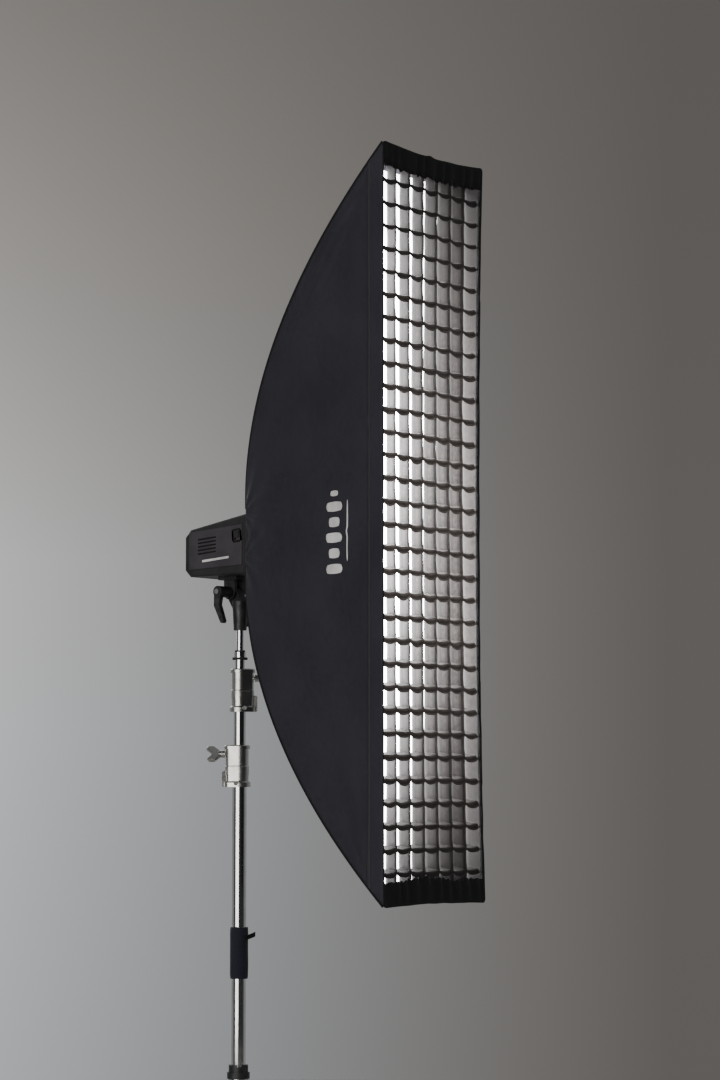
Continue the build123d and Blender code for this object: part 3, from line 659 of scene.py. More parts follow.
def tube_along(
    name: str, path: Sequence[Vector], radius: float, sides: int = 8, closed: bool = False
) -> bpy.types.Object:
    """A round cord laid along a line.

    Args:
        name: the piece's name.
        path: the points of the line.
        radius: the cord's radius.
        sides: the faces round it.
        closed: whether the line ends where it starts.

    Returns:
        The cord's object.
    """
    mesh = bmesh.new()
    count = len(path)
    rings = []
    for i, point in enumerate(path):
        before = path[i - 1] if i or closed else point
        after = path[(i + 1) % count] if i < count - 1 or closed else point
        turn = (after - before).to_track_quat("Z", "Y").to_matrix().to_4x4()
        at = Matrix.Translation(point) @ turn
        ring = bmesh.ops.create_circle(mesh, segments=sides, radius=radius, matrix=at)
        rings.append(ring["verts"])
    pairs = list(zip(rings, rings[1:])) + ([(rings[-1], rings[0])] if closed else [])
    for first, second in pairs:
        edges = {e for v in first + second for e in v.link_edges if e.is_valid}
        loops = [e for e in edges if set(e.verts) <= set(first) or set(e.verts) <= set(second)]
        bmesh.ops.bridge_loops(mesh, edges=loops)
    if not closed:
        bmesh.ops.holes_fill(mesh, edges=mesh.edges, sides=sides)
    bmesh.ops.recalc_face_normals(mesh, faces=mesh.faces)
    return to_object(name, mesh)


def stitches(
    name: str,
    rows: Iterable[Sequence[Vector]],
    pitch: float = 0.007,
    length: float = 0.0042,
    thread: float = 0.0009,
) -> bpy.types.Object:
    """Short threads in rows along seams.

    Args:
        name: the piece's name.
        rows: the lines that the rows follow.
        pitch: from one stitch to the next.
        length: one stitch's length.
        thread: the thread's thickness.

    Returns:
        The threads as one object.
    """
    mesh = bmesh.new()
    shape = Matrix.Diagonal((length, thread, thread, 1.0))
    for row in rows:
        run = 0.0
        for start, end in zip(row, row[1:]):
            step = end - start
            while run <= step.length:
                turn = step.to_track_quat("X", "Z").to_matrix().to_4x4()
                middle = Matrix.Translation(start + step.normalized() * run)
                bmesh.ops.create_cube(mesh, size=1.0, matrix=middle @ turn @ shape)
                run += pitch
            run -= step.length
    return to_object(name, mesh, smooth=False)


def settle(
    made: bpy.types.Object, finish: Finish, body: str, slot: Slot, *stands_for: str
) -> bpy.types.Object:
    """Dresses a new piece and joins it to its body.

    Args:
        made: the piece.
        finish: its finish.
        body: the body it rides on.
        slot: the record's slot for its finish; not used.
        stands_for: the CAD nodes that it is shown instead of.

    Returns:
        The same piece.
    """
    made.data.materials.append(finish.make())
    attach(made, body)
    if stands_for:
        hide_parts(*stands_for)
    LOG.info("made %s on %s", made.name, body)
    return made


def ripple(x: float, y: float, z: float, scale: float) -> float:
    """Smooth seeded noise at a place, from about -1 to 1."""
    return noise.noise(Vector([a * scale + start for a, start in zip((x, y, z), PATTERN_START)]))


def hump(value: float, middle: float, width: float, power: int = 2) -> float:
    """A smooth rise to 1 at a middle value and back to 0 beside it."""
    return math.exp(-(((value - middle) / width) ** power))


def arch(part: float) -> float:
    """A rise from 0 to 1 and back over one cell."""
    return 4 * part * (1 - part)


def split(share: float, count: int) -> tuple[int, float]:
    """The cell that a share of a row of cells falls in, and the part of that cell passed."""
    cell = min(int(share * count), count - 1)
    return cell, share * count - cell


def shares(start: float, stop: float, count: int) -> list[float]:
    """Even shares from one value to another, both included."""
    return [start + (stop - start) * i / count for i in range(count + 1)]


# ---- Softbox ----


@dataclass
class Flare:
    """The softbox's outer shape: a share t runs from the front edge (1) to the crown (0)."""

    low: Vector = field(default_factory=lambda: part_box("front_lip")[0])
    high: Vector = field(default_factory=lambda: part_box("front_lip")[1])
    ring_half_w: float = 0.07
    ring_half_h: float = 0.06
    depth: float = 0.475
    cloth: float = 0.0012
    bow: float = 0.015
    bow_reach: float = 0.17

    @property
    def half_w(self) -> float:
        """Half the front opening's width."""
        return (self.high.x - self.low.x) / 2

    @property
    def half_h(self) -> float:
        """Half the front opening's height."""
        return (self.high.z - self.low.z) / 2

    @property
    def axis_z(self) -> float:
        """Height of the optical axis."""
        return (self.high.z + self.low.z) / 2

    @property
    def front_y(self) -> float:
        """Place of the front edge."""
        return self.low.y

    @property
    def ring_share(self) -> float:
        """The share at the ring."""
        return self.ring_half_h / self.half_h

    def share_at(self, depth: float) -> float:
        """The share at a depth behind the front edge."""
        return math.sqrt(max(0.0, 1 - depth / self.depth))

    def depth_at(self, share: float) -> float:
        """The depth behind the front edge at a share."""
        return self.depth * (1 - share * share)

    def width_at(self, share: float) -> float:
        """Half the width at a share."""
        rate = (self.half_w - self.ring_half_w) / (self.half_h - self.ring_half_h)
        return self.ring_half_w + rate * (self.half_h * share - self.ring_half_h)

    def bowed(self, point: Vector) -> Vector:
        """A point near the front, drawn in where the grid pulls the free long edge.

        Args:
            point: the point before the pull.

        Returns:
            The point after it.
        """
        depth = point.y - self.front_y
        reach = self.half_h * max(self.share_at(depth), 0.1)
        up = min(1.0, abs(point.z - self.axis_z) / reach)
        share = max(0.0, point.x / self.half_w * 0.5 + 0.5)
        pull = self.bow * (1 - up * up) * share * hump(depth, 0.0, self.bow_reach)
        return Vector((point.x - pull, point.y, point.z))

    def corner(self, side: Side, end: End, share: float, out: float = 0.0) -> Vector:
        """A point on the edge where a long side meets an end.

        Args:
            side: which long side.
            end: which end.
            share: the place from front to back.
            out: how far it stands out of the edge.

        Returns:
            The point.
        """
        x = side.value * (self.width_at(share) + out)
        z = self.axis_z + end.value * (self.half_h * share + out)
        return Vector((x, self.front_y + self.depth_at(share), z))

    def side_point(self, side: Side, share: float, up: float, out: float = 0.0) -> Vector:
        """A point on a long side panel.

        Args:
            side: which panel.
            share: the place from front to back.
            up: the place from the bottom edge (-1) to the top edge (1).
            out: how far it stands out of the plain surface.

        Returns:
            The point.
        """
        widening = (self.half_w - self.ring_half_w) / (1 - self.ring_share)
        outward = Vector((side.value * 2 * self.depth * share, widening, 0.0)).normalized()
        x = side.value * self.width_at(share)
        flat = Vector((x, self.front_y + self.depth_at(share), self.axis_z + up * self.half_h * share))
        return self.bowed(flat + outward * out)

    def end_point(self, end: End, share: float, across: float, out: float = 0.0) -> Vector:
        """A point on an end panel.

        Args:
            end: which panel.
            share: the place from front to back.
            across: the place from the left edge (-1) to the right edge (1).
            out: how far it stands out of the plain surface.

        Returns:
            The point.
        """
        outward = Vector((0.0, self.half_h, end.value * 2 * self.depth * share)).normalized()
        x = across * (self.width_at(share) - self.cloth)
        z = self.axis_z + end.value * self.half_h * share
        return Vector((x, self.front_y + self.depth_at(share), z)) + outward * out


@dataclass
class Shell:
    """The four panels of black coated cloth, their piping and seams."""

    flare: Flare
    lip: float = 0.04
    side_cells: tuple[int, int] = (84, 220)
    end_cells: tuple[int, int] = (150, 46)
    belly: float = 0.005
    end_dip: float = 0.007
    inset: float = 0.0003
    piping_r: float = 0.0022
    proud: float = 0.0002
    flap_inner: float = 0.0609
    flap_half_w: float = 0.0728
    flap_half_h: float = 0.072
    flap_depth: float = 0.4702
    bars: tuple[tuple[float, float, float, float], ...] = (
        (0.152, 0.050, 0.021, -0.094),
        (0.152, 0.034, 0.021, -0.061),
        (0.152, 0.050, 0.021, -0.028),
        (0.152, 0.034, 0.021, 0.005),
        (0.152, 0.050, 0.021, 0.038),
        (0.152, 0.024, 0.012, 0.066),
        (0.111, 0.004, 0.13, -0.015),
    )

    def pulls(self, run: float, height: float) -> float:
        """Fans of small folds that spread from the front corners and from the ring.

        Args:
            run: the depth behind the front edge, in metres.
            height: the height over the axis, in metres.

        Returns:
            How far the folds stand out, in metres.
        """
        flare = self.flare
        folds = 0.0
        for sign in (1, -1):
            aside, below = run - 0.03, flare.half_h * 0.96 - sign * height
            reach, bearing = math.hypot(aside, below), math.atan2(aside, below)
            folds += 0.0028 * math.exp(-reach / 0.22) * math.sin(bearing * 19 + reach * 9)
            rear, rise = flare.depth - run, abs(height - sign * 0.05)
            reach, bearing = math.hypot(rear, rise), math.atan2(rear, rise)
            folds += 0.0016 * math.exp(-reach / 0.13) * math.sin(bearing * 11 + 1.0)
        return folds

    def creases(self, run: float, height: float) -> float:
        """Creases left by packing: one aslant, a broad hollow, and one level by the middle.

        Args:
            run: the depth behind the front edge, in metres.
            height: the height over the axis, in metres.

        Returns:
            How far the creases stand out, in metres.
        """
        aslant = (height + 0.21) * 0.72 + (run - 0.2) * 0.7
        folds = 0.0016 * hump(aslant, 0.0, 0.012) * hump(run, 0.22, 0.13)
        hollow = hump(abs(run - (0.335 - 0.08 * height)), 0.0, 0.035, 4)
        folds -= 0.0022 * hollow * (1 if -0.33 < height < 0.12 else 0.4)
        level = hump(height + 0.02 + 0.04 * (run - 0.2), 0.0, 0.007)
        return folds + 0.0016 * level * (1 + ripple(run, 0, 0, 9.0))

    def puckers(self, run: float, height: float, share: float, below: float) -> float:
        """Soft waves all over, puckers behind the front band and gathers by the top edge.

        Args:
            run: the depth behind the front edge, in metres.
            height: the height over the axis, in metres.
            share: the place from front to back.
            below: the distance down from the panel's top edge, in metres.

        Returns:
            How far they stand out, in metres.
        """
        folds = 0.0018 * ripple(run, height, 0.0, 7.0) + 0.0007 * ripple(run, height, 3.0, 24.0)
        near = math.exp(-max(0.0, run - 0.045) / 0.03)
        folds += 0.0022 * near * ripple(run * 0.3, height, 8.0, 42.0) * hump(height, 0.3, 0.28)
        gathered = math.exp(-below / 0.05) * hump(share, 0.82, 0.16)
        return folds + 0.0042 * math.sin(below * 170 + 5 * ripple(run, height, 2.0, 6.0)) * gathered

    def side_relief(self, share: float, up: float) -> float:
        """How far a long panel's cloth stands off its plain surface.

        Args:
            share: the place from front to back.
            up: the place from bottom (-1) to top (1).

        Returns:
            The distance outwards, in metres.
        """
        flare = self.flare
        run, height = flare.depth_at(share), up * flare.half_h * share
        edge = (1 - up**8) * min(1.0, (run - self.lip) / 0.03 + 0.15)
        back = min(1.0, max(0.0, (share - flare.ring_share) / 0.12))
        sag = -self.belly * (1 - up * up) * math.sin(math.pi * min(1.0, run / flare.depth)) * back
        below = (1 - up) * flare.half_h * share
        folds = self.pulls(run, height) + self.creases(run, height)
        folds += self.puckers(run, height, share, below)
        return (sag + folds * edge) * back - self.inset

    def end_relief(self, share: float, across: float) -> float:
        """How far an end panel's cloth stands off its plain surface.

        Args:
            share: the place from front to back.
            across: the place from left (-1) to right (1).

        Returns:
            The distance outwards, in metres.
        """
        run, x = self.flare.depth_at(share), across * self.flare.width_at(share)
        sagging = math.sin(math.pi * min(1.0, run / self.flare.depth))
        dip = -self.end_dip * (1 - across * across) * sagging
        folds = 0.0014 * math.sin(x * 90 + run * 30) * math.exp(-run / 0.12)
        folds += 0.0018 * ripple(x, run, 5.0, 9.0)
        return dip + folds * (1 - across**6) - self.inset

    def panel_area(self, steps: int = 60) -> tuple[float, float]:
        """The flat areas of a long panel and of an end panel.

        Args:
            steps: the strips that each is summed over.

        Returns:
            The two areas, in square metres.
        """
        flare = self.flare
        edges = shares(flare.ring_share, flare.share_at(self.lip), steps)
        long_area = end_area = 0.0
        for a, b in zip(edges, edges[1:]):
            dx = flare.width_at(b) - flare.width_at(a)
            dy = flare.depth_at(a) - flare.depth_at(b)
            dz = flare.half_h * (b - a)
            long_area += math.hypot(dx, dy) * flare.half_h * (a + b)
            end_area += math.hypot(dz, dy) * (flare.width_at(a) + flare.width_at(b))
        return long_area, end_area

    def long_panel(self, side: Side, node: str) -> bpy.types.Object:
        """One long side panel.

        Args:
            side: which side.
            node: the CAD node it stands for.

        Returns:
            The panel.
        """
        start, stop = self.flare.ring_share, self.flare.share_at(self.lip)
        outward = Vector((side.value, 0.2, 0))

        def place(u: float, v: float) -> Vector:
            """A point of the cut laid on the softbox's side."""
            share, up = start + (stop - start) * u, 2 * v - 1
            return self.flare.side_point(side, share, up, self.side_relief(share, up))

        size = (0.48, 1.53)
        made = cloth(node + "_cloth", self.side_cells, size, place, lambda p: outward, self.flare.cloth)
        settle(made, SHELL, "softbox", Slot.SHELL_CLOTH, node)
        area = self.panel_area()[0]
        return made

    def end_panel(self, end: End, node: str) -> bpy.types.Object:
        """One end panel.

        Args:
            end: which end.
            node: the CAD node it stands for.

        Returns:
            The panel.
        """
        start, stop = self.flare.ring_share, self.flare.share_at(self.lip)
        outward = Vector((0, 0.3, end.value))

        def place(u: float, v: float) -> Vector:
            """A point of the cut laid on the softbox's end."""
            share, across = start + (stop - start) * u, 2 * v - 1
            return self.flare.end_point(end, share, across, self.end_relief(share, across))

        size = (0.87, 0.34)
        made = cloth(node + "_cloth", self.end_cells, size, place, lambda p: outward, self.flare.cloth)
        settle(made, SHELL, "softbox", Slot.SHELL_CLOTH, node)
        area = self.panel_area()[1]
        return made

    def piping(self) -> None:
        """The bound edges along the four curved corners."""
        run = shares(self.flare.ring_share, self.flare.share_at(0.004), 70)
        for side in Side:
            for end in End:
                path = [self.flare.corner(side, end, share, -0.0006) for share in run]
                name = f"edge_binding_{side.name.lower()}_{end.name.lower()}"
                settle(tube_along(name, path, self.piping_r), TRIM, "softbox", Slot.SHELL_CLOTH)

    def seams(self) -> None:
        """Rows of stitches beside the bindings and behind the front band."""
        rows = []
        first, last = self.flare.ring_share + 0.03, self.flare.share_at(self.lip + 0.006)
        for side in Side:
            for sign in (-1, 1):
                row = []
                for share in shares(first, last, 50):
                    up = sign * (1 - 0.007 / (self.flare.half_h * share))
                    row.append(self.laid_on(side, share, up, self.proud))
                rows.append(row)
            for depth in (0.046, 0.05):
                share = self.flare.share_at(depth)
                ups = [-0.985 + 1.97 * i / 60 for i in range(61)]
                rows.append([self.laid_on(side, share, up, self.proud) for up in ups])
        settle(stitches("side_seam_stitches", rows), THREAD, "softbox", Slot.SHELL_CLOTH)

    def laid_on(self, side: Side, share: float, up: float, out: float) -> Vector:
        """A point a little proud of a long panel's cloth."""
        return self.flare.side_point(side, share, up, self.side_relief(share, up) + out)

    def emblem(self, side: Side) -> None:
        """A plain printed mark of bars, with a thin rule beside it, on a long panel.

        Args:
            side: which panel.
        """
        outward = Vector((side.value, 0.2, 0))
        for i, bar in enumerate(self.bars):
            depth, wide, tall, middle = bar
            front, rear = self.flare.share_at(depth - wide / 2), self.flare.share_at(depth + wide / 2)

            def place(u: float, v: float) -> Vector:
                """A point of the print on the panel, within rounded ends.

                Args:
                    u: the share from its rear edge to its front edge.
                    v: the share up it.

                Returns:
                    The point.
                """
                p, q = 2 * u - 1, 2 * v - 1
                there = (rear + front) / 2 + (front - rear) / 2 * p * math.sqrt(1 - 0.3 * q * q)
                height = middle + tall / 2 * q * math.sqrt(1 - 0.3 * p * p)
                return self.laid_on(side, there, height / (self.flare.half_h * there), 0.0003)

            name = f"printed_bar_{side.name.lower()}_{i + 1}"
            cells = (8, 14 if wide > 0.01 else 60)
            made = cloth(name, cells, (wide, tall), place, lambda p: outward, 0.0002)
            settle(made, PRINT, "softbox", Slot.WHITE_CLOTH)

    def flap(self) -> bpy.types.Object:
        """The flap that closes the back opening's corners round the ring.

        Returns:
            The flap's piece.
        """
        flare, inner = self.flare, self.flap_inner
        half_w, half_h = self.flap_half_w, self.flap_half_h

        def place(u: float, v: float) -> Vector:
            """A point of the flap.

            Args:
                u: the share of the way round it.
                v: the share from its round hem to its square edge.

            Returns:
                The point.
            """
            angle = math.tau * u
            way = Vector((math.cos(angle), math.sin(angle)))
            outer = min(half_w / max(abs(way.x), 0.01), half_h / max(abs(way.y), 0.01))
            reach = inner + (outer - inner) * v
            depth = self.flap_depth + 0.0003 * math.sin(angle * 40) * (1 - v)
            return Vector((way.x * reach, flare.front_y + depth, flare.axis_z + way.y * reach))

        backward = Vector((0, 1, 0))
        size = (0.42, 0.013)
        made = cloth("back_flap", (160, 4), size, place, lambda p: backward, 0.0006, close=True)
        settle(made, SHELL, "softbox", Slot.SHELL_CLOTH)
        return made

    def build(self) -> None:
        """Makes every piece of the shell."""
        self.flap()
        for side in Side:
            self.long_panel(side, f"panel_{side.name.lower()}")
        for end in End:
            self.end_panel(end, f"panel_{end.name.lower()}")
        self.piping()
        self.seams()
        for side in Side:
            self.emblem(side)


@dataclass
class FrontBand:
    """The band round the opening: out along the skin, over the edge and back in to the grid."""

    flare: Flare
    counts: tuple[int, int, int, int] = (84, 220, 84, 220)
    rows: int = 24
    sag: float = 0.011
    hood: float = 0.047
    low_hood: float = 0.003
    wide: float = 0.115
    gather: float = 0.0052
    corner_r: float = 0.008
    trim_from: float = 0.3
    return_from: float = 0.8

    def stations(self) -> list[tuple[float, float, float]]:
        """The band's profile, from the skin's edge over the fold to the grid's edge.

        Returns:
            The stations as (depth, narrower than the front, lower than the front), in metres.
        """
        flare = self.flare
        rear = flare.share_at(0.042)
        narrow, short = flare.half_w - flare.width_at(rear), flare.half_h * (1 - rear)
        return [
            (0.042, narrow - 0.0005, short - 0.0005),
            (0.022, narrow * 0.52, short * 0.52),
            (0.004, narrow * 0.09 + 0.0002, short * 0.09 + 0.0002),
            (0.0006, 0.0012, 0.0014),
            (0.0016, 0.0030, 0.0060),
            (0.0034, 0.0042, self.hood),
            (0.0064, 0.0050, self.hood - 0.004),
            (0.0120, 0.0054, 0.0330),
            (0.045, 0.0105, 0.031),
        ]

    def profile(self, v: float) -> tuple[float, float, float]:
        """The profile at a share of its way, between its stations.

        Args:
            v: the share.

        Returns:
            The depth, and how much narrower and lower than the front it is, in metres.
        """
        found = self.stations()
        index, part = split(v, len(found) - 1)
        return tuple(a + (b - a) * part for a, b in zip(found[index], found[index + 1]))

    def around(self, u: float, half_w: float, half_h: float) -> tuple[float, float, int, float]:
        """A point on a rounded rectangle.

        Args:
            u: the share of the way round, clockwise from the top left.
            half_w: half its width.
            half_h: half its height.

        Returns:
            Its X and Z, the side's number and the share along that side.
        """
        step = u * sum(self.counts)
        index = 0
        while index < 3 and step > self.counts[index]:
            step -= self.counts[index]
            index += 1
        along = step / self.counts[index]
        ways = [
            (-half_w + 2 * half_w * along, half_h),
            (half_w, half_h - 2 * half_h * along),
            (half_w - 2 * half_w * along, -half_h),
            (-half_w, -half_h + 2 * half_h * along),
        ]
        x, z = ways[index]
        radius = self.corner_r
        over = Vector((abs(x) - half_w + radius, abs(z) - half_h + radius))
        if over.x > 0 and over.y > 0 and over.length > radius:
            over = over.normalized() * radius
            x = math.copysign(half_w - radius + over.x, x)
            z = math.copysign(half_h - radius + over.y, z)
        return x, z, index, along

    def place(self, u: float, v: float) -> Vector:
        """A point of the band's cut, with its slack and gathers.

        Args:
            u: the share of the way round, clockwise from the top left.
            v: the share across, from the skin's edge to the grid's.

        Returns:
            The point.
        """
        flare = self.flare
        depth, narrow, short = self.profile(v)
        x, z, index, along = self.around(u, flare.half_w - narrow, flare.half_h - short)
        inner = max(0.0, (v - 0.42) / 0.58)
        drape, front = hump(v, 0.66, 0.14), hump(v, 0.5, 0.25)
        if z < 0:
            z += self.low_hood * drape * (-z / flare.half_h) ** 4
        if index in (0, 2):
            slack = math.sin(math.pi * along)
            sign = 1 if index == 0 else -1
            amount = self.sag if index == 0 else self.sag * 0.45
            knot = 0.004 * hump(along, 0.46, 0.03) if index == 0 else 0.0
            drop = amount * slack**0.8 * (0.35 + 0.65 * front) - knot * front
            drop += 0.0016 * ripple(along, 2.0 + index, 0.0, 9.0) * slack
            z -= sign * drop
            pleats = math.sin(along * 62 + 5 * ripple(along, 0.0, index, 6.0))
            swell = math.sin(math.pi * min(1.0, inner * 1.5)) * (inner > 0)
            lift = self.gather * pleats * slack**0.3 * swell
            ragged = 0.008 * ripple(along, 7.0, index, 7.0) * drape * slack**0.5
            z -= sign * (abs(lift) - ragged)
            depth += lift * 0.42
        else:
            slack = min(1.0, 12 * min(along, 1 - along))
            x += 0.0011 * ripple(along, 5.0 + index, v, 34.0) * slack * front
            swell = 1 + ripple(along, 9.0 + index, 0.0, 21.0)
            depth += 0.0012 * swell * slack * (v > 0.3) * front
        return flare.bowed(Vector((x, flare.front_y + max(0.0, depth), flare.axis_z + z)))

    def build(self) -> bpy.types.Object:
        """The band, in the place of the CAD's front lip.

        Returns:
            The band's piece.
        """
        flare = self.flare

        def outward(point: Vector) -> Vector:
            """Away from the axis ahead of the fold, and forwards at it."""
            up = (point.z - flare.axis_z) / flare.half_h**2
            return Vector((point.x / flare.half_w**2, -0.5, up))

        perimeter = 4 * (flare.half_w + flare.half_h)
        cells, size = (sum(self.counts), self.rows), (perimeter, self.wide)
        thickness = flare.cloth * 0.7
        made = cloth("front_band", cells, size, self.place, outward, thickness, close=True)
        settle(made, SHELL, "softbox", Slot.SHELL_CLOTH, "front_lip")
        made.data.materials.append(TRIM.make())
        made.data.materials.append(RETURN.make())
        cut = made.data.uv_layers[0].data
        for face in made.data.polygons:
            across = sum(cut[i].uv.y for i in face.loop_indices) / face.loop_total / self.wide
            face.material_index = (across > self.trim_from) + (across > self.return_from)
        return made


@dataclass
class ClothGrid:
    """The egg-crate of crossing strips, each a little slack between its crossings."""

    flare: Flare
    pitch: float = 0.0485
    columns: int = 7
    rows: int = 32
    front: float = 0.0075
    strip: float = 0.034
    thickness: float = 0.0009
    taper: float = 0.09
    end_taper: float = 0.008
    low_lean: float = 0.006
    sag: float = 0.0042
    hem: float = 0.0135
    hem_share: float = 0.32
    tilt: float = 0.006
    bulge: float = 0.0042
    scallop: float = 0.0014
    level_cells: tuple[int, int] = (8, 10)
    upright_cells: tuple[int, int] = (6, 4)

    def lean(self, x: float, z: float, back: float) -> tuple[float, float]:
        """A crossing's place at a share back from the front, where the grid is narrower."""
        low = self.low_lean * max(0.0, min(1.0, (-z - 0.35) / 0.4))
        return x * (1 - self.taper * back) - low * back, z * (1 - self.end_taper * back)

    def put(self, x: float, depth: float, z: float) -> Vector:
        """A point of the grid, from its place behind the front edge's middle."""
        flare = self.flare
        return flare.bowed(Vector((x, flare.front_y + depth, flare.axis_z + z)))

    def level(self, mesh: bmesh.types.BMesh, row: float) -> None:
        """Adds one level strip, drooping in each cell.

        Args:
            mesh: the bmesh that gets it.
            row: its number from the middle.
        """
        span = self.columns * self.pitch

        def place(u: float, v: float) -> Vector:
            """A point of the strip.

            Args:
                u: the share across the softbox.
                v: the share from front to back.

            Returns:
                The point.
            """
            cell, part = split(u, self.columns)
            amount = self.sag * (1 + 0.55 * ripple(cell * 0.7, row * 0.9, 1.0, 1.0))
            curve = arch(part) ** 0.8
            droop = amount * curve * (1.0 - 0.5 * v)
            roll = self.hem * (1 + 0.3 * ripple(cell * 1.9, row * 1.1, 6.0, 1.0))
            roll *= (0.78 + 0.22 * curve) * (0.95 + 0.012 * row - 0.0009 * row * row)
            droop += roll * max(0.0, 1 - v / self.hem_share)
            behind = max(0.0, v - self.hem_share)
            droop -= self.tilt * (0.75 + 0.03 * row) * behind / (1 - self.hem_share)
            x, z = self.lean((u - 0.5) * span, row * self.pitch, v)
            wave = 0.0017 * ripple(u * 14, row * 1.3, v, 1.0)
            pull = 0.0022 * ripple(u * 9, row * 2.1, 4.0, 1.0)
            inward = 0.3 * v if v < self.hem_share else 0.096 + behind * 1.16
            depth = self.front + pull * (1 - v) + self.strip * inward
            return self.put(x, depth, z - droop + wave)

        along, across = self.level_cells
        lay_cut(mesh, (self.columns * along, across), (span, self.strip), place)

    def upright(self, mesh: bmesh.types.BMesh, column: float) -> None:
        """Adds one upright strip, bulging a little in each cell.

        Args:
            mesh: the bmesh that gets it.
            column: its number from the middle.
        """
        height = self.rows * self.pitch

        def place(u: float, v: float) -> Vector:
            """A point of the strip.

            Args:
                u: the share up the softbox.
                v: the share from front to back.

            Returns:
                The point.
            """
            cell, part = split(u, self.rows)
            bulge = self.bulge * ripple(cell * 0.83, column * 1.7, 7.0, 1.0) * arch(part)
            x, z = self.lean(column * self.pitch, (u - 0.5) * height, v)
            scallop = self.scallop * arch(part) * (1 - v)
            return self.put(x + bulge * (1 - 0.4 * v), self.front + self.strip * v + scallop, z)

        along, across = self.upright_cells
        lay_cut(mesh, (self.rows * along, across), (height, self.strip), place)

    def build(self) -> bpy.types.Object:
        """The whole grid, in the place of the CAD's.

        Returns:
            The grid's piece.
        """
        mesh = bmesh.new()
        for i in range(self.rows - 1):
            self.level(mesh, i - (self.rows - 2) / 2)
        for i in range(self.columns - 1):
            self.upright(mesh, i - (self.columns - 2) / 2)
        made = thicken(to_object("grid_strips", mesh), self.thickness, 0.0)
        settle(made, STRIP, "softbox", Slot.GRID_CLOTH, "grid")
        return made


@dataclass
class WhiteCloths:
    """The lit front cloth and the smaller baffle behind it."""

    flare: Flare

    def cloth_for(self, node: str, bulge: float, finish: Finish) -> bpy.types.Object:
        """One white cloth, hanging in its frame.

        Args:
            node: the CAD node it stands for.
            bulge: how far its middle leans back.
            finish: its finish.

        Returns:
            The cloth's piece.
        """
        low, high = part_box(node)
        wide, tall = high.x - low.x, high.z - low.z
        middle, forward = (low.y + high.y) / 2, Vector((0, -1, 0))

        def place(u: float, v: float) -> Vector:
            """A point of the cloth, tight at its hem and slack in its middle.

            Args:
                u: the share across it.
                v: the share up it.

            Returns:
                The point.
            """
            hold = math.sin(math.pi * u) * math.sin(math.pi * v)
            lean = bulge * hold**0.7 + 0.0006 * ripple(u * 3, v * 12, 1.0, 1.0) * hold
            return self.flare.bowed(Vector((low.x + wide * u, middle + lean, low.z + tall * v)))

        size = (wide, tall)
        made = cloth(node + "_cloth", (28, 120), size, place, lambda p: forward, 0.0006)
        settle(made, finish, "softbox", Slot.WHITE_CLOTH, node)
        return made

    def build(self) -> None:
        """Makes both white cloths."""
        self.cloth_for("front_diffuser", 0.002, WHITE)
        self.cloth_for("inner_baffle", 0.004, BAFFLE)


# ---- Stand and head ----


@dataclass
class Grip:
    """The neoprene wrap on the base tube, closed with an overlap, and its strap's end."""

    low: Vector = field(default_factory=lambda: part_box("grip_sleeve")[0])
    high: Vector = field(default_factory=lambda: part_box("grip_sleeve")[1])
    thickness: float = 0.0034
    lap: float = 1.05
    strap_long: float = 0.034
    strap_wide: float = 0.0102
    strap_thickness: float = 0.0009
    strap_drop: float = 0.031

    @property
    def radius(self) -> float:
        """The wrap's outer radius."""
        return (self.high.x - self.low.x) / 2

    def around(self, degrees: float, reach: float, height: float) -> Vector:
        """A point round the column."""
        angle, middle = math.radians(degrees), (self.low + self.high) / 2
        return Vector((middle.x + reach * math.cos(angle), middle.y + reach * math.sin(angle), height))

    def outward(self, point: Vector) -> Vector:
        """The direction away from the column at a point."""
        middle = (self.low + self.high) / 2
        return Vector((point.x - middle.x, point.y - middle.y, 0))

    def wrap(self) -> bpy.types.Object:
        """The wrap itself.

        Returns:
            The wrap's piece.
        """
        tall = self.high.z - self.low.z

        def place(u: float, v: float) -> Vector:
            """A point of the wrap.

            Args:
                u: the share of the way round it.
                v: the share up it.

            Returns:
                The point.
            """
            rim = min(1.0, 10 * min(v, 1 - v)) ** 0.5
            reach = self.radius - 0.0031 + 0.0018 * u + 0.0009 * rim
            reach += 0.0006 * ripple(u * 5, v * 3, 0.0, 1.0) * rim
            notch = 0.007 * hump(u, 0.06, 0.05) * v**12
            slump = 0.0014 * math.sin(u * 9) * v**6
            height = self.low.z + 0.001 + (tall - 0.003) * v - notch - abs(slump)
            return self.around(360 * self.lap * u - 70, reach, height)

        size = (0.13, tall)
        made = cloth("grip_wrap", (72, 30), size, place, self.outward, self.thickness)
        settle(made, NEOPRENE, "base", Slot.NEOPRENE, "grip_sleeve")
        return made

    def strap(self) -> bpy.types.Object:
        """The end of the closing strap, which stands off the wrap.

        Returns:
            The strap's piece.
        """

        def place(u: float, v: float) -> Vector:
            """A point of the strap.

            Args:
                u: the share along it.
                v: the share up it.

            Returns:
                The point.
            """
            reach = self.radius + 0.0008 + 0.015 * (max(0.0, u - 0.3) / 0.7) ** 1.6
            height = self.high.z - self.strap_drop + self.strap_wide * v + 0.007 * u * u
            return self.around(60 * u - 100, reach, height)

        size = (self.strap_long, self.strap_wide)
        made = cloth("grip_strap", (24, 4), size, place, self.outward, self.strap_thickness)
        settle(made, TRIM, "base", Slot.NEOPRENE)
        return made

    def build(self) -> None:
        """Makes the wrap and the strap."""
        self.wrap()
        self.strap()


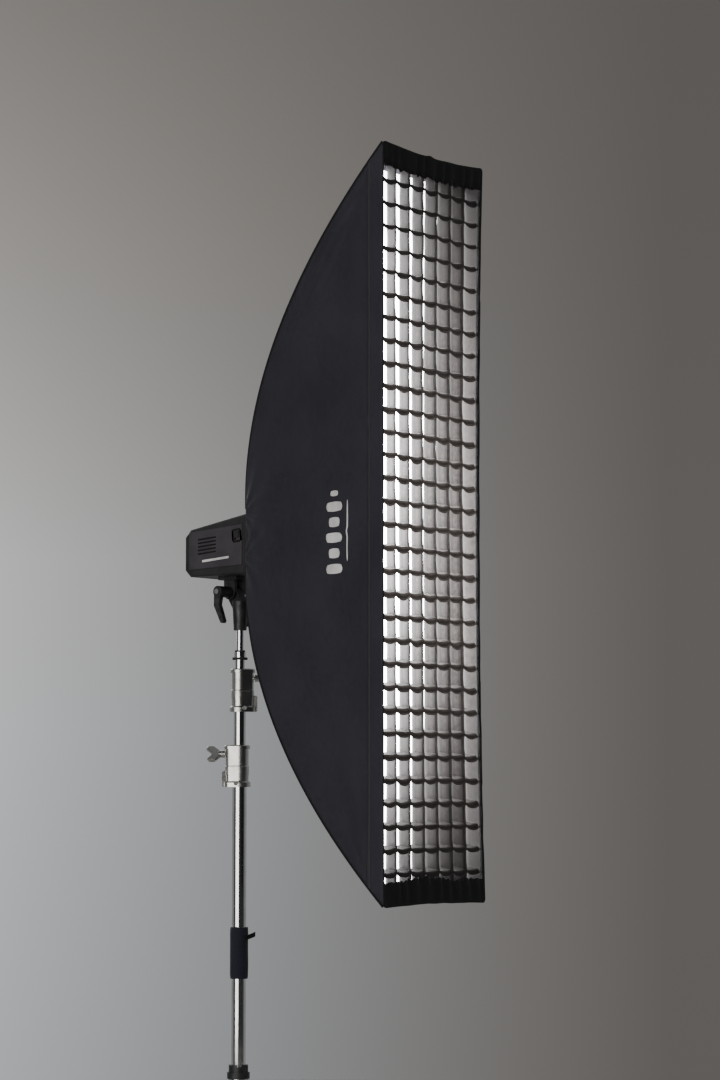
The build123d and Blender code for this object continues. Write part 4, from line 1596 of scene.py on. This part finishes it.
@dataclass
class HeadTrim:
    """Small printed details of the flash head and painted shade in its gaps, each as depth, height and
    size.
    """

    flare: Flare
    slope: float = math.radians(4.0)
    proud: float = 0.0004
    vent_shadows: int = 5
    vent_depth: float = 0.599
    vent_top: float = 0.002
    vent_pitch: float = 0.008
    vent_shadow_size: tuple[float, float, float] = (0.0012, 0.0532, 0.0031)
    label_depth: float = 0.573
    label_height: float = 0.021
    label_size: tuple[float, float] = (0.08, 0.005)
    latch_shadow_bars: tuple[tuple[float, float, float, float], ...] = (
        (0.4985, 0.004, 0.005, 0.024),
        (0.5215, 0.004, 0.005, 0.024),
        (0.51, 0.0172, 0.022, 0.004),
        (0.51, -0.0092, 0.022, 0.004),
    )

    def bar(self, name: str, size: Sequence[float], at: Vector, finish: Finish) -> bpy.types.Object:
        """A rounded bar along the battery's sloping face.

        Args:
            name: the piece's name.
            size: its thickness, length and height.
            at: its middle.
            finish: its finish.

        Returns:
            The bar's piece.
        """
        mesh = bmesh.new()
        bmesh.ops.create_cube(mesh, size=1.0)
        edges = [e for e in mesh.edges if abs(e.verts[0].co.x - e.verts[1].co.x) > 0.5]
        bmesh.ops.scale(mesh, verts=mesh.verts, vec=size)
        bmesh.ops.bevel(
            mesh,
            geom=edges,
            offset=size[2] * 0.36,
            segments=4,
            profile=0.5,
            affect="EDGES",
            material=-1,
        )
        bmesh.ops.rotate(mesh, verts=mesh.verts, matrix=Matrix.Rotation(-self.slope, 3, "X"))
        bmesh.ops.translate(mesh, verts=mesh.verts, vec=at)
        return settle(to_object(name, mesh, smooth=False), finish, "battery", Slot.PANEL_PLASTIC)

    def build(self) -> None:
        """Makes painted shade in the vents' slots, a plain pale bar and a painted shadow line round the
        latch.
        """
        low, front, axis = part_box("battery_pack")[0], self.flare.front_y, self.flare.axis_z
        sunk, face = low.x + 0.001, low.x - self.proud / 4
        # Painted shade: near-black bars sunk in the vent slots.
        for i in range(self.vent_shadows):
            height = axis + self.vent_top - self.vent_pitch * i
            at = Vector((sunk, front + self.vent_depth, height))
            self.bar(f"battery_louvre_{i + 1}", self.vent_shadow_size, at, GAP_SHADE)
        at = Vector((face, front + self.label_depth, low.z + self.label_height))
        self.bar("battery_label", (self.proud, *self.label_size), at, PRINT)
        # Painted shadow: a near-black line round the latch.
        for i, (depth, up, long, tall) in enumerate(self.latch_shadow_bars):
            at = Vector((face, front + depth, axis + up))
            self.bar(f"latch_frame_{i + 1}", (self.proud, long, tall), at, GAP_SHADE)


@dataclass
class CollarBeads:
    """A polished bead round the middle of each of the stand's clamp collars."""

    radius: float = 0.0019
    inset: float = 0.0004
    points: int = 72
    share: float = 0.49
    reach: float = 0.2
    places: tuple[tuple[str, str, str], ...] = (
        ("lower_collar", "base_tube", "base"),
        ("upper_collar", "lower_riser_tube", "lower_riser"),
    )

    def outline(self, collar: str, tube: str) -> list[Vector]:
        """The collar's outer edge at the bead's height, found by rays towards its tube.

        Args:
            collar: the collar's node.
            tube: the tube that it holds.

        Returns:
            The points of the edge, in order round the tube.
        """
        low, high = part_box(collar)
        near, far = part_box(tube)
        height = low.z + (high.z - low.z) * self.share
        centre = Vector(((near.x + far.x) / 2, (near.y + far.y) / 2, height))
        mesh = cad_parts[collar].data
        faces = [p.vertices for p in mesh.polygons]
        tree = BVHTree.FromPolygons([v.co for v in mesh.vertices], faces)
        edge = []
        for i in range(self.points):
            angle = math.tau * i / self.points
            out = Vector((math.cos(angle), math.sin(angle), 0.0))
            hit = tree.ray_cast(centre + out * self.reach, -out)[0]
            if hit is not None:
                edge.append(hit - out * self.inset)
        return edge

    def build(self) -> None:
        """Lays the beads."""
        for collar, tube, body in self.places:
            edge = self.outline(collar, tube)
            bead = tube_along(f"{collar}_bead", edge, self.radius, sides=10, closed=True)
            settle(bead, CHROME, body, Slot.CHROME)


# ---- Carried-over nodes, stage, lights and camera ----


def dress_nodes() -> None:
    """Gives every carried-over CAD node its finish."""
    for finish, names in CARRIED.items():
        for name in names.split():
            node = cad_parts[name]
            node.data.materials.clear()
            node.data.materials.append(finish.make())
            LOG.info("dressed %s with %s", name, finish.name)


@dataclass(frozen=True)
class Lamp:
    """One soft rectangular light: where it stands, its size, its power in watts and its colour."""

    name: str
    place: tuple[float, float, float]
    size: tuple[float, float]
    power: float
    tint: tuple[float, float, float]


@dataclass
class Studio:
    """The pale floor, the plain grey surroundings and the soft lights."""

    floor_r: float = 3.0
    aim: Vector = field(default_factory=lambda: Vector((0.0, 0.0, 1.4)))
    floor_dark: Rgba = (0.5, 0.49, 0.475, 1.0)
    floor_pale: Rgba = (0.56, 0.55, 0.535, 1.0)
    right: tuple[float, float, float] = (0.63, -0.777, 0.0)
    rearward: tuple[float, float, float] = (0.777, 0.63, 0.0)
    cool: Rgba = (0.955, 0.975, 1.0, 1.0)
    warm: Rgba = (1.0, 0.945, 0.885, 1.0)
    reflected: Rgba = (0.95, 0.97, 1.0, 1.0)
    lamps: tuple[Lamp, ...] = (
        Lamp("window_light", (-4.5, -0.6, 1.45), (4.0, 3.0), 122.0, (1.0, 0.985, 0.96)),
        Lamp("front_fill", (-1.5, -5.5, 4.2), (2.0, 1.4), 40.0, (0.97, 0.98, 1.0)),
        Lamp("rear_fill", (3.0, 4.5, 3.0), (3.0, 3.0), 45.0, (1.0, 1.0, 1.0)),
    )

    def floor(self) -> None:
        """A plain pale round of floor."""
        mesh = bmesh.new()
        bmesh.ops.create_circle(mesh, cap_ends=True, segments=96, radius=self.floor_r)
        made = to_object("studio_floor", mesh, smooth=False)
        tree = Tree("pale_floor")
        tone = tree.blend(tree.noise(tree.at, 60.0, 4.0), self.floor_dark, self.floor_pale)
        tree.feed(tree.shader, {"Base Color": tone, "Roughness": 0.75})
        made.data.materials.append(tree.material)

    def surroundings(self) -> None:
        """Plain grey all round, a little brighter low on one side, and dimmer in reflections."""
        world = bpy.data.worlds.new("grey_studio")
        bpy.context.scene.world = world
        world.use_nodes = True
        nodes, links = world.node_tree.nodes, world.node_tree.links
        coords = nodes.new("ShaderNodeTexCoord")

        def join(kind: str, inputs: Sequence[object], **settings: str) -> bpy.types.Node:
            """Adds a world node.

            Args:
                kind: the node's type without its ShaderNode prefix.
                inputs: what its sockets get, in order.
                settings: the node's own properties.

            Returns:
                The node.
            """
            node = nodes.new("ShaderNode" + kind)
            for key, value in settings.items():
                setattr(node, key, value)
            for i, value in enumerate(inputs):
                if isinstance(value, bpy.types.NodeSocket):
                    links.new(value, node.inputs[i])
                elif value is not None:
                    node.inputs[i].default_value = value
            return node

        def sum_of(operation: str, *values: object) -> bpy.types.NodeSocket:
            """The result of one sum."""
            return join("Math", values, operation=operation).outputs[0]

        def along(way: Sequence[float]) -> bpy.types.NodeSocket:
            """How far a direction points along a way."""
            inputs = (coords.outputs["Generated"], way)
            return join("VectorMath", inputs, operation="DOT_PRODUCT").outputs["Value"]

        def span(value: object, *ends: float) -> bpy.types.NodeSocket:
            """A number carried from one range to another."""
            return join("MapRange", (value, *ends)).outputs[0]

        aside, up, away = along(self.right), along((0.0, 0.0, 1.0)), along(self.rearward)
        level = span(aside, -0.15, 0.11, -0.39, -2.1)
        fall = sum_of("ADD", span(up, 0.08, 0.3, 0.0, 1.05), span(up, -0.12, 0.02, 0.2, 0.0))
        shaded = sum_of("MULTIPLY", fall, span(aside, -0.13, 0.11, 1.0, 0.1))
        bright = sum_of("EXPONENT", sum_of("SUBTRACT", level, shaded))
        high, far = span(up, 0.02, 0.2, 0.0, 1.0), span(aside, -0.03, 0.07, 0.0, 1.0)
        tone = join("Mix", (sum_of("MAXIMUM", high, far),), data_type="RGBA")
        tone.inputs[6].default_value, tone.inputs[7].default_value = self.cool, self.warm
        shown = join("Background", (tone.outputs[2], bright))
        mirrored = join("Background", (self.reflected, span(away, -0.35, 0.35, 0.03, 0.26)))
        seen = join("LightPath", ()).outputs["Is Camera Ray"]
        mix = join("MixShader", (seen, mirrored.outputs[0], shown.outputs[0]))
        links.new(mix.outputs[0], nodes["World Output"].inputs[0])

    def light(self, lamp: Lamp) -> None:
        """Sets up one light, aimed at the object.

        Args:
            lamp: the light.
        """
        data = bpy.data.lights.new(lamp.name, "AREA")
        data.shape = "RECTANGLE"
        data.size, data.size_y = lamp.size
        data.energy = lamp.power
        data.color = lamp.tint
        made = bpy.data.objects.new(lamp.name, data)
        bpy.context.scene.collection.objects.link(made)
        made.location = lamp.place
        aimed = self.aim - Vector(lamp.place)
        made.rotation_euler = aimed.to_track_quat("-Z", "Y").to_euler()

    def build(self) -> None:
        """Sets the floor, the surroundings and the lights."""
        self.floor()
        self.surroundings()
        for lamp in self.lamps:
            self.light(lamp)


@dataclass
class Viewer:
    """The camera, placed from the middle of the softbox's front."""

    azimuth: float = -50.955
    pitch: float = 5.067
    distance: float = 5.821
    aside: float = -0.159
    lower: float = -0.547
    lens: float = 92.0
    sensor: float = 36.0
    clip: tuple[float, float] = (0.1, 100.0)

    def build(self, flare: Flare) -> None:
        """Sets the scene's camera.

        Args:
            flare: the softbox's shape, for the place of its front.
        """
        data = bpy.data.cameras.new("view")
        data.lens, data.sensor_width = self.lens, self.sensor
        data.clip_start, data.clip_end = self.clip
        made = bpy.data.objects.new("view", data)
        bpy.context.scene.collection.objects.link(made)
        turn = math.radians(self.azimuth)
        back = Vector((math.sin(turn), -math.cos(turn), 0.0))
        right = Vector((math.cos(turn), math.sin(turn), 0.0))
        place = Vector((0.0, flare.front_y, flare.axis_z + self.lower))
        made.location = place + back * self.distance + right * self.aside
        made.rotation_euler = (math.radians(90 + self.pitch), 0.0, turn)
        bpy.context.scene.camera = made


def main() -> None:
    """Builds every piece in order."""
    logging.basicConfig(level=logging.INFO, format="%(message)s")
    flare = Flare()
    Viewer().build(flare)
    Studio().build()
    dress_nodes()
    Shell(flare).build()
    FrontBand(flare).build()
    ClothGrid(flare).build()
    WhiteCloths(flare).build()
    Grip().build()
    HeadTrim(flare).build()
    CollarBeads().build()


if __name__ == "__main__":
    main()
